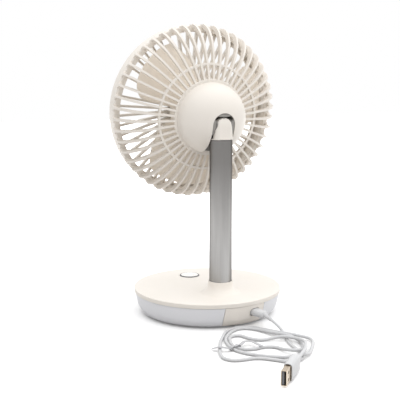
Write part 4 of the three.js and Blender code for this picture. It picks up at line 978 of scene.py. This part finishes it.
def buildSmallPlug():
    front, back = smallPlug["front"], smallPlug["back"]
    stages = [(front, 0.74, 0.72), (front + 0.6, 0.84, 0.85), (front + 1.8, 0.91, 0.93), (front + 5, 0.98, 1),
              (back - smallPlug["firstGroove"] - 0.3, 0.99, 0.99)]
    for at in range(smallPlug["grooves"]):  # finger grooves, then the bar draws in to the sleeve
        start = back - smallPlug["firstGroove"] + at * smallPlug["grooveStep"]
        share = 0.99 - 0.02 * at
        stages += [(start, share, share), (start + 0.35, share - 0.07, share - 0.1),
                   (start + 1.0, share - 0.07, share - 0.1), (start + 1.35, share - 0.01, share - 0.01)]
    stages += [(back - 1.2, 0.92, 0.93), (back - 0.3, 0.83, 0.84), (back, 0.7, 0.7)]
    bar = lofted(smallPlug["width"], smallPlug["thickness"], smallPlug["corner"], stages)
    guard = moved(rotated(sleeve(*smallPlug["sleeve"], lead["sleeve"], 4), -lead["droop"], "X"), y=back)
    finished("smallPlug", together(bar, guard), portPlace, "base", leadPvc, "lead_plastic", "port_plug_body",
             crease=38)


# Sections of the USB plug are (width, thickness, corner). Its windows and its core's blocks lie at each side.
usbShape = {"body": (7.5, 15.2, 3.2), "mouth": (5.9, 13.5, 2.2), "can": (4.5, 12, 0.6),
            "inside": (3.7, 11.2, 0.4), "side": 3.0, "window": (5.0, -7.6, -4.9, 1.4), "sunk": 2.4,
            "tongue": (-0.15, 1.55, 5.3), "core": (-1.8, -0.2, 5.5), "block": (-7.9, -4.6, 1.7),
            "sleeve": (3.3, 1.9)}


def buildUsbPlug():
    front, back = -usbPlug["shell"], -usbPlug["shell"] - usbPlug["body"]
    sides = (-usbShape["side"], usbShape["side"])
    stages = [(front, 0.9, 0.93), (front - 0.4, 0.96, 0.97), (front - 1.2, 1, 1), (back + 7, 1, 1),
              (back + 2.2, 0.96, 0.94), (back + 0.8, 0.86, 0.85), (back, 0.7, 0.7)]
    bar = carved(lofted(*usbShape["body"], stages),
                 ("DIFFERENCE", roundBar(*usbShape["mouth"], front - 2.5, front + 1)))
    guard = moved(rotated(sleeve(*usbShape["sleeve"], usbPlug["relief"], 4), 180, "Z"), y=back)
    body = finished("usbPlugBody", together(bar, guard), plugPlace, "base", leadPvc, "lead_plastic",
                    "usb_plug_body", crease=38)
    reach, start, end, half = usbShape["window"]
    windows = [("DIFFERENCE", block((-reach, start, z - half), (reach, end, z + half))) for z in sides]
    can = carved(roundBar(*usbShape["can"], front - usbShape["sunk"], 0),
                 ("DIFFERENCE", roundBar(*usbShape["inside"], front + 1, 1)), *windows)
    shell = finished("usbPlugShell", can, plugPlace, "base", nickelSheet, "steel", "usb_plug_shell",
                     edge=0.08, crease=40)
    low, high, half = usbShape["tongue"]
    tongue = finished("usbPlugTongue", block((low, front + 1.3, -half), (high, -0.6, half)), plugPlace,
                      "base", slateAbs, "lead_plastic", "usb_plug_insert", edge=0.15)
    low, high, half = usbShape["core"]
    start, end, wide = usbShape["block"]
    core = together(*[block((low, start, z - wide), (high, end, z + wide)) for z in sides],
                    block((low, front + 1.3, -half), (high, front + 3, half)))
    core = finished("usbPlugCore", core, plugPlace, "base", blackPbt, "lead_plastic", "usb_plug_insert",
                    edge=0.1)
    return [body, shell, tongue, core]


plugPieces = buildUsbPlug()
buildSmallPlug()
print("plugs built")


# Flat tie round the coil, with its two free ends. "edge" rounds the strip, and "half" is half its flat width.
tie = {"edge": 0.3, "half": 1.4}
tieWrap = [(25.2, 118.6, 2.3), (25.6, 119.0, 3.7), (30, 120.5, 3.85), (34.4, 122.0, 3.7), (34.9, 122.2, 2.3),
           (34.4, 122.0, 1.0), (30, 120.5, 0.9), (25.6, 119.0, 1.0)]
tieEnds = [
    [(34.8, 122.2, 2.2), (37.5, 122.4, 3.3), (40.5, 121, 3.9), (43.2, 118.6, 3.9), (46.2, 116, 3.0),
     (48.5, 113.5, 1.6)],
    [(25.0, 118.4, 2.6), (21, 116, 3.4), (16.5, 113.4, 3.8), (11.8, 115.6, 3.8), (10.6, 122, 3.8),
     (9.4, 130, 3.6)],
]
twistTie = softLine("twistTie", [(tieWrap, True), (tieEnds[0], False), (tieEnds[1], False)],
                    tie["edge"], tie["half"])
twistTie.data.materials.append(tiePvc)
leadCord.data.materials.append(leadPvc)
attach(twistTie, "base")
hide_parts("twist_tie")


# The working parts inside keep their shapes and get their real finishes
carriedParts = {
    "bottom_plate": greyAbs, "rubber_foot_": footRubber, "ballast_weight": castIron,
    "base_screw_": zincSteel, "pole_screw_": zincSteel, "pole_foot": zincSteel, "bracket_screw_": zincSteel,
    "switch_housing": zincSteel, "switch_plunger": blackPbt, "button_board": greenBoard,
    "port_board": greenBoard, "usb_socket": zincSteel, "port_plug_tip": nickelSheet,
    "friction_washer_": darkNylon, "tilt_pin": zincSteel, "motor_lead": blackPbt, "motor_can": zincSteel,
    "motor_end_plate": darkNylon, "motor_magnets": blackFerrite, "motor_rotor": sinteredBronze,
    "motor_shaft": zincSteel, "rear_bearing": sinteredBronze, "front_bearing": sinteredBronze,
    "blade_nut": zincSteel,
}
for partName, part in frame["nodes"].items():
    for start, finish in carriedParts.items():
        if partName.startswith(start):
            for place in part.material_slots:
                place.material = finish
print("inner parts finished")

bpy.context.view_layer.update()
